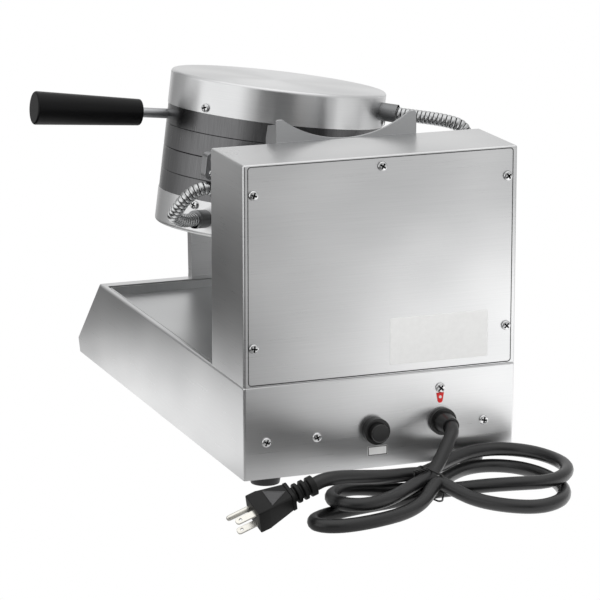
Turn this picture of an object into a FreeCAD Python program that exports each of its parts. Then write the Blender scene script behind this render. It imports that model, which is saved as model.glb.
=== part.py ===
import FreeCAD, Part
import math
import os
from FreeCAD import Placement, Rotation, Vector

os.makedirs("parts", exist_ok=True)

# Driving dimensions in millimetres, +Z up, origin on the counter under the middle of the base.
# The operator stands on the -Y side, and the mains cord leaves on the +Y side.

# Sheet metal body
BASE_WIDTH = 250.0
BASE_LENGTH = 476.0
BASE_TOP = 94.0
FOOT_HEIGHT = 12.0
NOSE_HEIGHT = 25.0
NOSE_RUN = 72.0
NOSE_UNDERCUT = 5.0
SHEET = 1.5
BEND_RADIUS = 2.0
RIM = 12.0
SIDE_RIM = 4.5
TOWER_DEPTH = 82.0
TOWER_HEIGHT = 191.5
PANEL_BORDER = 4.5
PANEL_FLANGE = 9.0
PANEL_CORNER = 2.5
PANEL_GAP = 0.5

# Tray
TRAY_GAP = 1.6
TRAY_SHEET = 1.2
TRAY_FLOOR = 85.5
TRAY_DROP = 1.0
RAIL_LEDGE = 9.0

# Baking head, measured from its centre
HEAD_FROM_NOSE = 203.0
HEAD_Z = 234.0
PITCH = 2.5
ROLL = 8.1
SHELL_RADIUS = 99.0
SHELL_SHEET = 1.2
SHELL_CORNER = 3.0
CAST_INSET = 0.6
CAST_RADIUS = SHELL_RADIUS - CAST_INSET
HEAD_HALF = 70.0
SHELL_EDGE = 39.0
SEAM = 20.7
PARTING = 0.15
SPIGOT = 9.0
SPIGOT_WALL = 10.0
WAFFLE_BORDER = 10.4
WAFFLE_RADIUS = CAST_RADIUS - WAFFLE_BORDER
WAFFLE_PITCH = 11.0
WAFFLE_GROOVE = 3.5
WAFFLE_DEPTH = 2.5
HEATER_RADIUS = 60.0
HEATER_WIRE = 4.1
PAD_INSET = 9.0
PAD_RADIUS = SHELL_RADIUS - PAD_INSET

# Conduits and their fittings
SOCKET_ANGLE = 53.0
SOCKET_HEIGHT = 54.5
SOCKET_RADIUS = 8.25
SOCKET_LENGTH = 15.5
CONDUIT_RADIUS = 6.0
CONDUIT_BORE = 4.6
ELBOW_RADIUS = 7.0
ELBOW_X = 80.0
ELBOW_REACH = 14.0
ELBOW_DROP = 8.5

# Flip axis
SHAFT_RADIUS = 10.0
SHAFT_BORE = 6.0
SHAFT_INSIDE = 40.8
PIN_RADIUS = 7.0
RUNNING_FIT = 0.05
BUSH_WALL = 2.5
BUSH_FLANGE = 17.0
YOKE_HALF = 42.0
YOKE_TOP = 14.0
YOKE_GAP = 2.0
YOKE_THICK = 4.0
BOX_HALF_LENGTH = 104.0
BOX_HALF_HEIGHT = 12.0
BOX_DEPTH = 11.0
BOX_END = 12.0
BOX_CORNER = 5.0
BRACKET_HALF = 65.0
BRACKET_THICK = 3.0
BRACKET_EAR = 19.5
BRACKET_DISH = 99.0
BRACKET_FOOT = 150.0
GUSSET_TOP = 4.0
GUSSET_FALL = 4.0
GUSSET_HIGH_DEPTH = 18.0
GUSSET_DEPTH = 23.0
POST_HALF = 36.0
POST_THICK = 3.0
STOP_RADIUS = 34.0
STOP_STUD = 4.0
STOP_ARM_HALF = 5.0
STOP_GAP = 0.3

# Lid hinge and handle
HINGE_REACH = 13.0
KNUCKLE_RADIUS = 10.0
HINGE_PIN = 4.0
HINGE_HALF = 11.7
HINGE_OUTER = 26.0
HINGE_GAP = 0.6
LUG_CLEAR = 1.0
SADDLE_CLEAR = 0.05
HANDLE_ROD = 4.5
HANDLE_HEIGHT = 28.7
HANDLE_SIDE = -22.0
HANDLE_DROOP = 2.0
GRIP_START = 122.5
GRIP_LENGTH = 100.8
GRIP_INNER = 12.0
GRIP_OUTER = 15.2

# Fasteners
SCREW_HEAD = 4.0
SCREW_HEAD_HEIGHT = 2.6
SCREW_SHANK = 1.9
SCREW_HOLE = 0.1
BOLT_HEAD = 5.0
BOLT_HEAD_HEIGHT = 3.6
BOLT_SHANK = 2.9

# Derived frame
HALF_W = BASE_WIDTH / 2
REAR_Y = BASE_LENGTH / 2
NOSE_Y = -BASE_LENGTH / 2
FRONT_TOP_Y = NOSE_Y + NOSE_RUN
TOWER_FRONT = REAR_Y - TOWER_DEPTH
TOWER_TOP = BASE_TOP + TOWER_HEIGHT
BRACKET_TOP = TOWER_TOP + BRACKET_EAR
HEAD_Y = NOSE_Y + HEAD_FROM_NOSE
HEAD_CENTRE = Vector(0, HEAD_Y, HEAD_Z)
AXIS_FRAME = Placement(HEAD_CENTRE, Rotation(Vector(1, 0, 0), PITCH))
HEAD_FRAME = AXIS_FRAME.multiply(Placement(Vector(), Rotation(Vector(0, 1, 0), -ROLL)))
NODES = {}


# Shape helpers
def box(x0, x1, y0, y1, z0, z1):
    return Part.makeBox(x1 - x0, y1 - y0, z1 - z0, Vector(x0, y0, z0))


def rod(radius, start, end):
    way = end - start
    return Part.makeCylinder(radius, way.Length, start, way)


def prism_along_x(points, x0, x1):
    outline = [Vector(x0, y, z) for y, z in points]
    face = Part.Face(Part.makePolygon(outline + outline[:1]))
    return face.extrude(Vector(x1 - x0, 0, 0))


def prism_along_z(points, z0, z1):
    outline = [Vector(x, y, z0) for x, y in points]
    face = Part.Face(Part.makePolygon(outline + outline[:1]))
    return face.extrude(Vector(0, 0, z1 - z0))


def inset(points, depths):
    """Move each side of a counter-clockwise outline inwards by its own depth."""
    lines = []
    for index, (y, z) in enumerate(points):
        y_next, z_next = points[(index + 1) % len(points)]
        run = math.hypot(y_next - y, z_next - z)
        way = ((y_next - y) / run, (z_next - z) / run)
        lines.append(((y - way[1] * depths[index], z + way[0] * depths[index]), way))
    corners = []
    for index, (at, way) in enumerate(lines):
        before, back = lines[index - 1]
        cross = back[0] * way[1] - back[1] * way[0]
        step = ((at[0] - before[0]) * way[1] - (at[1] - before[1]) * way[0]) / cross
        corners.append((before[0] + back[0] * step, before[1] + back[1] * step))
    return corners


def round_edges(solid, radius, keep):
    return solid.makeFillet(radius, [edge for edge in solid.Edges if keep(edge.BoundBox)])


def along(box_of_edge, axis):
    spans = [box_of_edge.XLength, box_of_edge.YLength, box_of_edge.ZLength]
    return spans[axis] > 0.5 and sum(spans) - spans[axis] < 0.001


def pan_screw(seat, way, length, head=SCREW_HEAD, height=SCREW_HEAD_HEIGHT, shank=SCREW_SHANK):
    """A pan head that stands out along way from its seat, with its shank behind it."""
    way = Vector(way).normalize()
    rim = Part.makeCylinder(head, height / 2, seat, way)
    crown = Part.makeCone(head, head * 0.62, height / 2, seat + way * (height / 2), way)
    stem = Part.makeCylinder(shank, length, seat, way * -1)
    return rim.fuse([crown, stem]).removeSplitter()


def screw_hole(seat, way, length, shank=SCREW_SHANK):
    way = Vector(way).normalize()
    return Part.makeCylinder(shank + SCREW_HOLE, length + 1.0, seat + way, way * -1)


def soft_path(points):
    """Straight runs joined by tangent arcs that are as large as the runs allow."""
    edges = []
    radii = []
    start = points[0]
    for before, corner, after in zip(points, points[1:], points[2:]):
        back = before - corner
        ahead = after - corner
        turn = math.pi - back.getAngle(ahead)
        reach = 0.45 * min(back.Length, ahead.Length)
        radii.append(reach / math.tan(turn / 2))
        entry = corner + Vector(back).normalize() * reach
        leave = corner + Vector(ahead).normalize() * reach
        inward = (Vector(back).normalize() + Vector(ahead).normalize()).normalize()
        depth = radii[-1] / math.cos(turn / 2) - radii[-1]
        edges.append(Part.LineSegment(start, entry).toShape())
        edges.append(Part.Arc(entry, corner + inward * depth, leave).toShape())
        start = leave
    edges.append(Part.LineSegment(start, points[-1]).toShape())
    return Part.Wire(edges), radii


def soft_tube(name, points, radius, bore=0.0):
    path, radii = soft_path(points)
    way = points[1] - points[0]
    outer = Part.Wire(Part.makeCircle(radius, points[0], way))
    tube = path.makePipeShell([outer], True, False)
    section = math.pi * radius ** 2
    if bore:
        inner = Part.Wire(Part.makeCircle(bore, points[0], way))
        tube = tube.cut(path.makePipeShell([inner], True, False))
        section -= math.pi * bore ** 2
    print(name, "length", round(path.Length), "radii", [round(r) for r in radii],
          "volume ratio", round(tube.Volume / (section * path.Length), 3))
    return tube


def in_head(shape):
    moved = shape.copy()
    moved.Placement = HEAD_FRAME.multiply(moved.Placement)
    return moved


def on_axis(shape):
    moved = shape.copy()
    moved.Placement = AXIS_FRAME.multiply(moved.Placement)
    return moved


def turned(shape):
    """The same piece turned half way round the flip axis, as the other half carries it."""
    return shape.mirror(Vector(), Vector(0, 0, 1)).mirror(Vector(), Vector(1, 0, 0))


def flipped(shape):
    return shape.mirror(Vector(), Vector(0, 0, 1))


# Base: a folded shell with a sloped front, open underneath
PROFILE = [
    (REAR_Y, FOOT_HEIGHT),
    (REAR_Y, BASE_TOP),
    (FRONT_TOP_Y, BASE_TOP),
    (NOSE_Y, NOSE_HEIGHT),
    (NOSE_Y + NOSE_UNDERCUT, FOOT_HEIGHT),
]
SLOPE = math.degrees(math.atan2(BASE_TOP - NOSE_HEIGHT, NOSE_RUN))
SLOPE_FRAME = Placement(
    Vector(0, (FRONT_TOP_Y + NOSE_Y) / 2, (BASE_TOP + NOSE_HEIGHT) / 2),
    Rotation(Vector(1, 0, 0), SLOPE),
)
OPENING_X = HALF_W - SIDE_RIM
WIRE_X = HALF_W - RIM
OPENING_FRONT = FRONT_TOP_Y + RIM
OPENING_REAR = TOWER_FRONT - RIM / 2
REAR = Vector(0, 1, 0)


def on_slope(shape):
    moved = shape.copy()
    moved.Placement = SLOPE_FRAME.multiply(moved.Placement)
    return moved


# Rear wall fittings, as (x, z) on the wall
BASE_SCREWS = [(105.0, 44.5), (59.0, 44.5), (-96.0, 44.8)]
EARTH_SCREW = (-55.0, 77.5)
RESET_AT = (6.0, 46.0)
GLAND_AT = (-57.0, 47.5)
RESET_COLLAR = 11.5
RESET_NECK = 9.5
RESET_CAP = 8.0
RESET_STEM = 3.0
RESET_SIDE = 0.3
RESET_PROUD = 14.5
GLAND_FLANGE = 12.0
GLAND_NECK = 9.5
CORD_RADIUS = 6.0
GLAND_LENGTH = 20.0
CHASSIS_LOW = 30.0
CHASSIS_HIGH = 62.0


def rear_point(spot, depth=0.0):
    return Vector(spot[0], REAR_Y + depth, spot[1])


# Sloped front fittings, as x along the slope
ROCKER_X = -62.0
KNOB_X = 0.0
LAMP_X = 60.0
ROCKER_HALF_X = 7.0
ROCKER_HALF_Y = 9.0
ROCKER_SIDE = 0.7
ROCKER_WALL = 2.5
ROCKER_BODY = 16.0
ROCKER_TILT = 8.0
ROCKER_PIN = 1.5
KNOB_RADIUS = 17.0
KNOB_HEIGHT = 17.0
KNOB_LIFT = 1.0
THERMOSTAT_STEM = 3.0
THERMOSTAT_NECK = 5.5
LAMP_LENS = 5.5
LAMP_NECK = 4.0


def base_shell():
    outer = prism_along_x(PROFILE, -HALF_W, HALF_W)
    outer = round_edges(outer, BEND_RADIUS, lambda b: b.ZMax > FOOT_HEIGHT + 0.01)
    inner = inset(PROFILE, [SHEET, SHEET, SHEET, SHEET, -SHEET])
    shell = outer.cut(prism_along_x(inner, -HALF_W + SHEET, HALF_W - SHEET))
    low = BASE_TOP - 2 * SHEET
    tray_hole = box(-OPENING_X, OPENING_X, OPENING_FRONT, OPENING_REAR, low, BASE_TOP + SHEET)
    wire_hole = box(-WIRE_X, WIRE_X, TOWER_FRONT + RIM, REAR_Y - RIM, low, BASE_TOP + SHEET)
    cuts = [round_edges(tray_hole, BEND_RADIUS, lambda b: along(b, 2)), wire_hole]
    for spot in BASE_SCREWS + [EARTH_SCREW]:
        cuts.append(screw_hole(rear_point(spot), REAR, 2 * SHEET))
    for spot, radius in ((RESET_AT, RESET_NECK), (GLAND_AT, GLAND_NECK)):
        cuts.append(rod(radius, rear_point(spot, -2 * SHEET), rear_point(spot, SHEET)))
    frame_x = ROCKER_HALF_X + ROCKER_SIDE + ROCKER_WALL
    frame_y = ROCKER_HALF_Y + ROCKER_SIDE + ROCKER_WALL
    deep = 2 * SHEET
    cuts.append(on_slope(box(ROCKER_X - frame_x, ROCKER_X + frame_x, -frame_y, frame_y, -deep, deep)))
    for x, radius in ((KNOB_X, THERMOSTAT_NECK), (LAMP_X, LAMP_NECK)):
        cuts.append(on_slope(rod(radius, Vector(x, 0, -deep), Vector(x, 0, deep))))
    return shell.cut(cuts)


def bottom_plate():
    inner = inset(PROFILE, [SHEET] * 5)
    low_front = inner[4][0]
    plate = box(-HALF_W + SHEET, HALF_W - SHEET, low_front + SHEET, REAR_Y - SHEET,
                FOOT_HEIGHT, FOOT_HEIGHT + SHEET)
    holes = [screw_hole(at + Vector(0, 0, FOOT_HEIGHT), Vector(0, 0, 1), SHEET + 1.0)
             for at in FOOT_SPOTS]
    return plate.cut([hole.translated(Vector(0, 0, SHEET)) for hole in holes])


FOOT_RADIUS = 15.0
FOOT_TOE = 12.5
FOOT_INSET = 30.0
FOOT_SPOTS = [
    Vector(side * (HALF_W - FOOT_INSET), end * (REAR_Y - FOOT_INSET), 0)
    for side in (-1, 1)
    for end in (-1, 1)
]


def feet():
    made = []
    for at in FOOT_SPOTS:
        foot = Part.makeCone(FOOT_TOE, FOOT_RADIUS, FOOT_HEIGHT, at)
        recess = Part.makeCylinder(SCREW_HEAD + 1.0, FOOT_HEIGHT / 2, at)
        bore = Part.makeCylinder(SCREW_SHANK + SCREW_HOLE, FOOT_HEIGHT, at)
        made.append(foot.cut([recess, bore]))
    return Part.makeCompound(made)


def foot_screws():
    down = Vector(0, 0, -1)
    seat = Vector(0, 0, FOOT_HEIGHT / 2)
    length = FOOT_HEIGHT / 2 + SHEET + 3.0
    return Part.makeCompound([pan_screw(at + seat, down, length) for at in FOOT_SPOTS])


NODES["base_shell"] = base_shell()
NODES["bottom_plate"] = bottom_plate()
NODES["feet"] = feet()


# Drip tray and the two folded rails that carry it
TRAY_X = OPENING_X - TRAY_GAP
TRAY_FRONT = OPENING_FRONT + TRAY_GAP
TRAY_REAR = OPENING_REAR - TRAY_GAP
TRAY_UNDER = TRAY_FLOOR - TRAY_SHEET


def drip_tray():
    pan = box(-TRAY_X, TRAY_X, TRAY_FRONT, TRAY_REAR, TRAY_UNDER, BASE_TOP - TRAY_DROP)
    pan = round_edges(pan, BEND_RADIUS, lambda b: along(b, 2))
    wall = TRAY_SHEET
    hollow = box(-TRAY_X + wall, TRAY_X - wall, TRAY_FRONT + wall, TRAY_REAR - wall,
                 TRAY_FLOOR, BASE_TOP)
    return pan.cut(hollow)


def tray_rails():
    made = []
    for side in (-1, 1):
        outer = side * (OPENING_X + SHEET)
        wall = sorted((side * OPENING_X, outer))
        ledge = sorted((side * (OPENING_X - RAIL_LEDGE), outer))
        upright = box(*wall, TRAY_FRONT, TRAY_REAR, TRAY_UNDER - SHEET, BASE_TOP - SHEET)
        shelf = box(*ledge, TRAY_FRONT, TRAY_REAR, TRAY_UNDER - SHEET, TRAY_UNDER)
        made.append(upright.fuse(shelf).removeSplitter())
    return Part.makeCompound(made)


NODES["drip_tray"] = drip_tray()
NODES["tray_rails"] = tray_rails()


# Tower: a folded hood, open below, with a flush rear panel
PANEL_X = HALF_W - PANEL_BORDER
PANEL_LOW = BASE_TOP + SHEET
PANEL_HIGH = TOWER_TOP - PANEL_BORDER / 2
PANEL_SCREW_X = PANEL_X - SCREW_HEAD - PANEL_GAP
PANEL_SCREWS = [
    (PANEL_SCREW_X, 259.5),
    (-PANEL_SCREW_X, 259.5),
    (0.0, PANEL_HIGH - SCREW_HEAD - 3.0),
    (PANEL_SCREW_X, 127.5),
    (-PANEL_SCREW_X, 127.5),
]
BRACKET_BOLTS = [(side * 50.0, z) for side in (-1, 1)
                 for z in (BRACKET_FOOT + 18.0, TOWER_TOP - 27.5)]
BUSH_RADIUS = SHAFT_RADIUS + RUNNING_FIT + BUSH_WALL
AXIS_TO_TOWER = (TOWER_FRONT - HEAD_Y) / math.cos(math.radians(PITCH))
BUSH_START = AXIS_TO_TOWER - 18.0
BUSH_END = AXIS_TO_TOWER + 8.0


def axis_rod(radius, start, end):
    return on_axis(rod(radius, Vector(0, start, 0), Vector(0, end, 0)))


def panel_plate(grow, y0, y1):
    plate = box(-PANEL_X - grow, PANEL_X + grow, y0, y1, PANEL_LOW - grow, PANEL_HIGH + grow)
    return round_edges(plate, PANEL_CORNER, lambda b: along(b, 1))


def tower_shell():
    hood = box(-HALF_W, HALF_W, TOWER_FRONT, REAR_Y, BASE_TOP, TOWER_TOP)
    hood = round_edges(hood, BEND_RADIUS, lambda b: b.ZMax > BASE_TOP + 0.01)
    inside = box(-HALF_W + SHEET, HALF_W - SHEET, TOWER_FRONT + SHEET, REAR_Y - 2 * SHEET,
                 BASE_TOP - SHEET, TOWER_TOP - SHEET)
    window = box(-PANEL_X + PANEL_FLANGE, PANEL_X - PANEL_FLANGE, REAR_Y - 3 * SHEET, REAR_Y + SHEET,
                 PANEL_LOW + PANEL_FLANGE, PANEL_HIGH - PANEL_FLANGE - SCREW_HEAD)
    cuts = [inside, window, panel_plate(PANEL_GAP, REAR_Y - SHEET, REAR_Y + SHEET)]
    cuts += [screw_hole(rear_point(spot), REAR, 3 * SHEET) for spot in PANEL_SCREWS]
    cuts += [screw_hole(Vector(x, TOWER_FRONT, z), Vector(0, -1, 0), 2 * SHEET, BOLT_SHANK)
             for x, z in BRACKET_BOLTS]
    cuts.append(axis_rod(BUSH_RADIUS, BUSH_START, BUSH_END))
    return hood.cut(cuts)


def rear_panel():
    plate = panel_plate(0.0, REAR_Y - SHEET, REAR_Y)
    return plate.cut([screw_hole(rear_point(spot), REAR, 2 * SHEET) for spot in PANEL_SCREWS])


def rear_panel_screws():
    return Part.makeCompound([pan_screw(rear_point(spot), REAR, 7.0) for spot in PANEL_SCREWS])


def blank_plates():
    """Two bare plates with no text: one on the rear panel and one under the reset button."""
    large = box(-99.0, -8.0, REAR_Y, REAR_Y + 0.3, 102.0, 143.0)
    small = box(-6.0, 12.0, REAR_Y, REAR_Y + 0.3, 22.8, 31.2)
    return Part.makeCompound([large, small])


NODES["rear_panel"] = rear_panel()


# Rear wall: chassis strip, screws, earth screw, reset and cord gland
def rear_chassis():
    strip = box(-HALF_W + RIM, HALF_W - RIM, REAR_Y - 2 * SHEET, REAR_Y - SHEET,
                CHASSIS_LOW, CHASSIS_HIGH)
    cuts = [screw_hole(rear_point(spot), REAR, 3 * SHEET) for spot in BASE_SCREWS]
    for spot, radius in ((RESET_AT, RESET_NECK), (GLAND_AT, GLAND_NECK)):
        cuts.append(rod(radius, rear_point(spot, -3 * SHEET), rear_point(spot)))
    return strip.cut(cuts)


def base_rear_screws():
    spots = BASE_SCREWS + [EARTH_SCREW]
    return Part.makeCompound([pan_screw(rear_point(spot), REAR, 7.0) for spot in spots])


def earth_tag():
    x, z = EARTH_SCREW
    top = z - SCREW_HEAD - 0.5
    points = [(x - 3.5, top), (x - 2.2, top - 9.0), (x + 2.2, top - 9.0), (x + 3.5, top)]
    outline = [Vector(px, REAR_Y, pz) for px, pz in points]
    face = Part.Face(Part.makePolygon(outline + outline[:1]))
    return face.extrude(Vector(0, 0.4, 0))


RESET_GUIDE = 10.0
RESET_POCKET = 2.0
RESET_BEZEL = 8.0
RESET_REST = 3.0


def reset_bezel():
    collar = rod(RESET_COLLAR, rear_point(RESET_AT), rear_point(RESET_AT, RESET_BEZEL))
    neck = rod(RESET_NECK, rear_point(RESET_AT, -RESET_GUIDE), rear_point(RESET_AT))
    pocket = rod(RESET_CAP + RESET_SIDE, rear_point(RESET_AT, -RESET_POCKET),
                 rear_point(RESET_AT, RESET_BEZEL + 1.0))
    guide = rod(RESET_STEM + RUNNING_FIT, rear_point(RESET_AT, -RESET_GUIDE - 1.0), rear_point(RESET_AT))
    return collar.fuse(neck).removeSplitter().cut([pocket, guide])


def reset_button():
    cap = rod(RESET_CAP, rear_point(RESET_AT, RESET_REST), rear_point(RESET_AT, RESET_PROUD))
    tip = rear_point(RESET_AT, RESET_PROUD).y - 0.01
    cap = round_edges(cap, 1.2, lambda b: b.YMin > tip)
    stem = rod(RESET_STEM, rear_point(RESET_AT, -RESET_GUIDE + 3.5), rear_point(RESET_AT, RESET_REST))
    return cap.fuse(stem).removeSplitter()


def limiter_body():
    x, z = RESET_AT
    back = REAR_Y - RESET_GUIDE
    return box(x - 15.0, x + 15.0, back - 24.0, back, z - 15.0, z + 15.0)


def cord_gland():
    """A moulded strain relief: flange outside the wall, nut inside it and a tapered boot."""
    flange = rod(GLAND_FLANGE, rear_point(GLAND_AT), rear_point(GLAND_AT, 4.0))
    neck = rod(GLAND_NECK, rear_point(GLAND_AT, -12.0), rear_point(GLAND_AT))
    boot = Part.makeCone(GLAND_NECK, CORD_RADIUS + 1.6, GLAND_LENGTH - 4.0,
                         rear_point(GLAND_AT, 4.0), REAR)
    nut = rod(GLAND_FLANGE, rear_point(GLAND_AT, -2 * SHEET - 5.0), rear_point(GLAND_AT, -2 * SHEET))
    bore = rod(CORD_RADIUS, rear_point(GLAND_AT, -13.0), rear_point(GLAND_AT, GLAND_LENGTH + 1.0))
    return flange.fuse([neck, boot, nut]).removeSplitter().cut(bore)


def terminal_block():
    floor = FOOT_HEIGHT + SHEET
    body = box(-90.0, -30.0, 168.0, 192.0, floor, floor + 20.0)
    slots = [box(-86.0 + 14.0 * n, -76.0 + 14.0 * n, 172.0, 188.0, floor + 12.0, floor + 21.0)
             for n in range(4)]
    return body.cut(slots)


NODES["rear_chassis"] = rear_chassis()
NODES["rear_screws"] = Part.makeCompound([rear_panel_screws(), base_rear_screws()])
NODES["blank_plates"] = Part.makeCompound([blank_plates(), earth_tag()])
NODES["reset_bezel"] = reset_bezel()
NODES["reset_button"] = reset_button()
NODES["cord_gland"] = cord_gland()
NODES["base_electrics"] = Part.makeCompound([limiter_body(), terminal_block()])


# Sloped front: power rocker, thermostat and pilot lamp
ROCKER_FRAME_X = ROCKER_HALF_X + ROCKER_SIDE + ROCKER_WALL
ROCKER_FRAME_Y = ROCKER_HALF_Y + ROCKER_SIDE + ROCKER_WALL
ROCKER_PIVOT = -2.5


def rocker_frame():
    flange = box(-ROCKER_FRAME_X - 2.5, ROCKER_FRAME_X + 2.5, -ROCKER_FRAME_Y - 2.5,
                 ROCKER_FRAME_Y + 2.5, 0, 2.0)
    body = box(-ROCKER_FRAME_X, ROCKER_FRAME_X, -ROCKER_FRAME_Y, ROCKER_FRAME_Y, -ROCKER_BODY, 0)
    well_x = ROCKER_HALF_X + ROCKER_SIDE
    well_y = ROCKER_HALF_Y + ROCKER_SIDE + 1.0
    well = box(-well_x, well_x, -well_y, well_y, -ROCKER_BODY + 3.0, 3.0)
    reach = well_x + 1.4
    pivot = rod(ROCKER_PIN + RUNNING_FIT, Vector(-reach, 0, ROCKER_PIVOT), Vector(reach, 0, ROCKER_PIVOT))
    frame = flange.fuse(body).removeSplitter().cut([well, pivot])
    return on_slope(frame.translated(Vector(ROCKER_X, 0, 0)))


def power_rocker():
    """A shallow V-shaped key on two pivot pins, at rest with its lower end pressed."""
    low = ROCKER_PIVOT - 3.0
    high = ROCKER_PIVOT + 5.5
    waist = ROCKER_PIVOT + 4.2
    side = [(-ROCKER_HALF_Y, low), (ROCKER_HALF_Y, low), (ROCKER_HALF_Y, high), (0, waist),
            (-ROCKER_HALF_Y, high)]
    key = prism_along_x(side, -ROCKER_HALF_X, ROCKER_HALF_X)
    reach = ROCKER_HALF_X + ROCKER_SIDE + 1.2
    pins = rod(ROCKER_PIN, Vector(-reach, 0, ROCKER_PIVOT), Vector(reach, 0, ROCKER_PIVOT))
    key = key.fuse(pins).removeSplitter()
    key.rotate(Vector(0, 0, ROCKER_PIVOT), Vector(1, 0, 0), ROCKER_TILT)
    return on_slope(key.translated(Vector(ROCKER_X, 0, 0)))


def thermostat_body():
    case = box(-19.0, 19.0, -15.0, 15.0, -SHEET - 24.0, -SHEET)
    neck = rod(THERMOSTAT_NECK, Vector(0, 0, -SHEET), Vector(0, 0, KNOB_LIFT))
    bore = rod(THERMOSTAT_STEM + RUNNING_FIT, Vector(0, 0, -16.0), Vector(0, 0, KNOB_LIFT + 1.0))
    body = case.fuse(neck).removeSplitter().cut(bore)
    return on_slope(body.translated(Vector(KNOB_X, 0, 0)))


def thermostat_stem():
    stem = rod(THERMOSTAT_STEM, Vector(KNOB_X, 0, -15.0), Vector(KNOB_X, 0, KNOB_HEIGHT - 4.0))
    return on_slope(stem)


def thermostat_knob():
    """A round knob with a raised grip bar across it."""
    lift = KNOB_LIFT + 0.5
    skirt = Part.makeCone(KNOB_RADIUS, KNOB_RADIUS - 1.5, 6.0, Vector(0, 0, lift))
    bar = box(-4.0, 4.0, -KNOB_RADIUS + 2.0, KNOB_RADIUS - 2.0, lift, KNOB_HEIGHT)
    bar = round_edges(bar, 2.0, lambda b: b.ZMin > KNOB_HEIGHT - 0.01 and not along(b, 0))
    bore = rod(THERMOSTAT_STEM, Vector(0, 0, 0), Vector(0, 0, KNOB_HEIGHT - 4.0))
    knob = skirt.fuse(bar).removeSplitter().cut(bore)
    return on_slope(knob.translated(Vector(KNOB_X, 0, 0)))


def pilot_lamp():
    bezel = rod(LAMP_LENS + 1.5, Vector(0, 0, 0), Vector(0, 0, 1.5))
    lens = Part.makeCone(LAMP_LENS, LAMP_LENS - 1.5, 3.5, Vector(0, 0, 1.5))
    neck = rod(LAMP_NECK, Vector(0, 0, -18.0), Vector(0, 0, 0))
    return on_slope(bezel.fuse([lens, neck]).removeSplitter().translated(Vector(LAMP_X, 0, 0)))


NODES["rocker_frame"] = rocker_frame()
NODES["power_rocker"] = power_rocker()
NODES["thermostat_body"] = thermostat_body()
NODES["thermostat_knob"] = Part.makeCompound([thermostat_knob(), thermostat_stem()])
NODES["pilot_lamp"] = pilot_lamp()


# Rear bearing: dished bracket, flanged bush and stop studs
BEHIND = 400.0


def rear_of(y):
    return box(-BEHIND, BEHIND, y, y + BEHIND, -BEHIND, BEHIND * 2)


def bearing_bracket():
    y0 = TOWER_FRONT - BRACKET_THICK
    plate = box(-BRACKET_HALF, BRACKET_HALF, y0, TOWER_FRONT, BRACKET_FOOT, BRACKET_TOP)
    dish_z = TOWER_TOP + BRACKET_DISH
    dish = rod(BRACKET_DISH, Vector(0, y0 - 1, dish_z), Vector(0, TOWER_FRONT + 1, dish_z))
    cuts = [dish, axis_rod(BUSH_RADIUS, BUSH_START, BUSH_END)]
    cuts += [screw_hole(Vector(x, y0, z), Vector(0, -1, 0), 2 * BRACKET_THICK, BOLT_SHANK)
             for x, z in BRACKET_BOLTS]
    plate = plate.cut(cuts)
    plate = round_edges(plate, 2.0, lambda b: along(b, 1) and b.ZMin > BRACKET_TOP - 1.0)
    side = [
        (y0, BRACKET_FOOT), (y0, BRACKET_TOP - GUSSET_TOP),
        (y0 - GUSSET_HIGH_DEPTH, BRACKET_TOP - GUSSET_TOP - GUSSET_FALL),
        (y0 - GUSSET_DEPTH, TOWER_TOP), (y0 - GUSSET_DEPTH, BRACKET_FOOT),
    ]
    right = prism_along_x(side, BRACKET_HALF - BRACKET_THICK, BRACKET_HALF)
    left = prism_along_x(side, -BRACKET_HALF, -BRACKET_HALF + BRACKET_THICK)
    return plate.fuse([right, left]).removeSplitter()


def bracket_bolts():
    seat = TOWER_FRONT - BRACKET_THICK
    return Part.makeCompound([
        pan_screw(Vector(x, seat, z), Vector(0, -1, 0), 10.0, BOLT_HEAD, BOLT_HEAD_HEIGHT, BOLT_SHANK)
        for x, z in BRACKET_BOLTS
    ])


def rear_bush():
    flange = axis_rod(BUSH_FLANGE, BUSH_START + 6.0, BUSH_END).cut(rear_of(TOWER_FRONT - BRACKET_THICK))
    sleeve = axis_rod(BUSH_RADIUS, BUSH_START, BUSH_END)
    bore = axis_rod(SHAFT_RADIUS + RUNNING_FIT, BUSH_START - 5.0, BUSH_END + 5.0)
    return flange.fuse(sleeve).removeSplitter().cut(bore)


COLLAR_START = BUSH_END + 1.0
COLLAR_WIDTH = 10.0
COLLAR_RADIUS = 16.0
FLIP_RANGE = 180.0 - 2 * ROLL
ARM_REST = 270.0 - FLIP_RANGE / 2
STUD_OFFSET = math.degrees(math.asin((STOP_STUD + STOP_ARM_HALF + STOP_GAP) / STOP_RADIUS))


def axis_spot(degrees, radius, y):
    angle = math.radians(degrees)
    return Vector(radius * math.cos(angle), y, radius * math.sin(angle))


def stop_studs():
    made = []
    for degrees in (ARM_REST - STUD_OFFSET, ARM_REST + FLIP_RANGE + STUD_OFFSET):
        stud = rod(STOP_STUD, axis_spot(degrees, STOP_RADIUS, AXIS_TO_TOWER - 20.0),
                   axis_spot(degrees, STOP_RADIUS, COLLAR_START + COLLAR_WIDTH))
        made.append(on_axis(stud).common(rear_of(TOWER_FRONT + SHEET)))
    return Part.makeCompound(made)


def shaft_collar():
    """A clamped collar behind the bush, with the arm that meets the stop studs."""
    end = COLLAR_START + COLLAR_WIDTH
    ring = rod(COLLAR_RADIUS, Vector(0, COLLAR_START, 0), Vector(0, end, 0))
    arm = box(0, STOP_RADIUS + STOP_STUD + 2.0, COLLAR_START, end, -STOP_ARM_HALF, STOP_ARM_HALF)
    arm.rotate(Vector(), Vector(0, 1, 0), -ARM_REST)
    bore = rod(SHAFT_RADIUS, Vector(0, COLLAR_START - 1, 0), Vector(0, end + 1, 0))
    return on_axis(ring.fuse(arm).removeSplitter().cut(bore))


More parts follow.
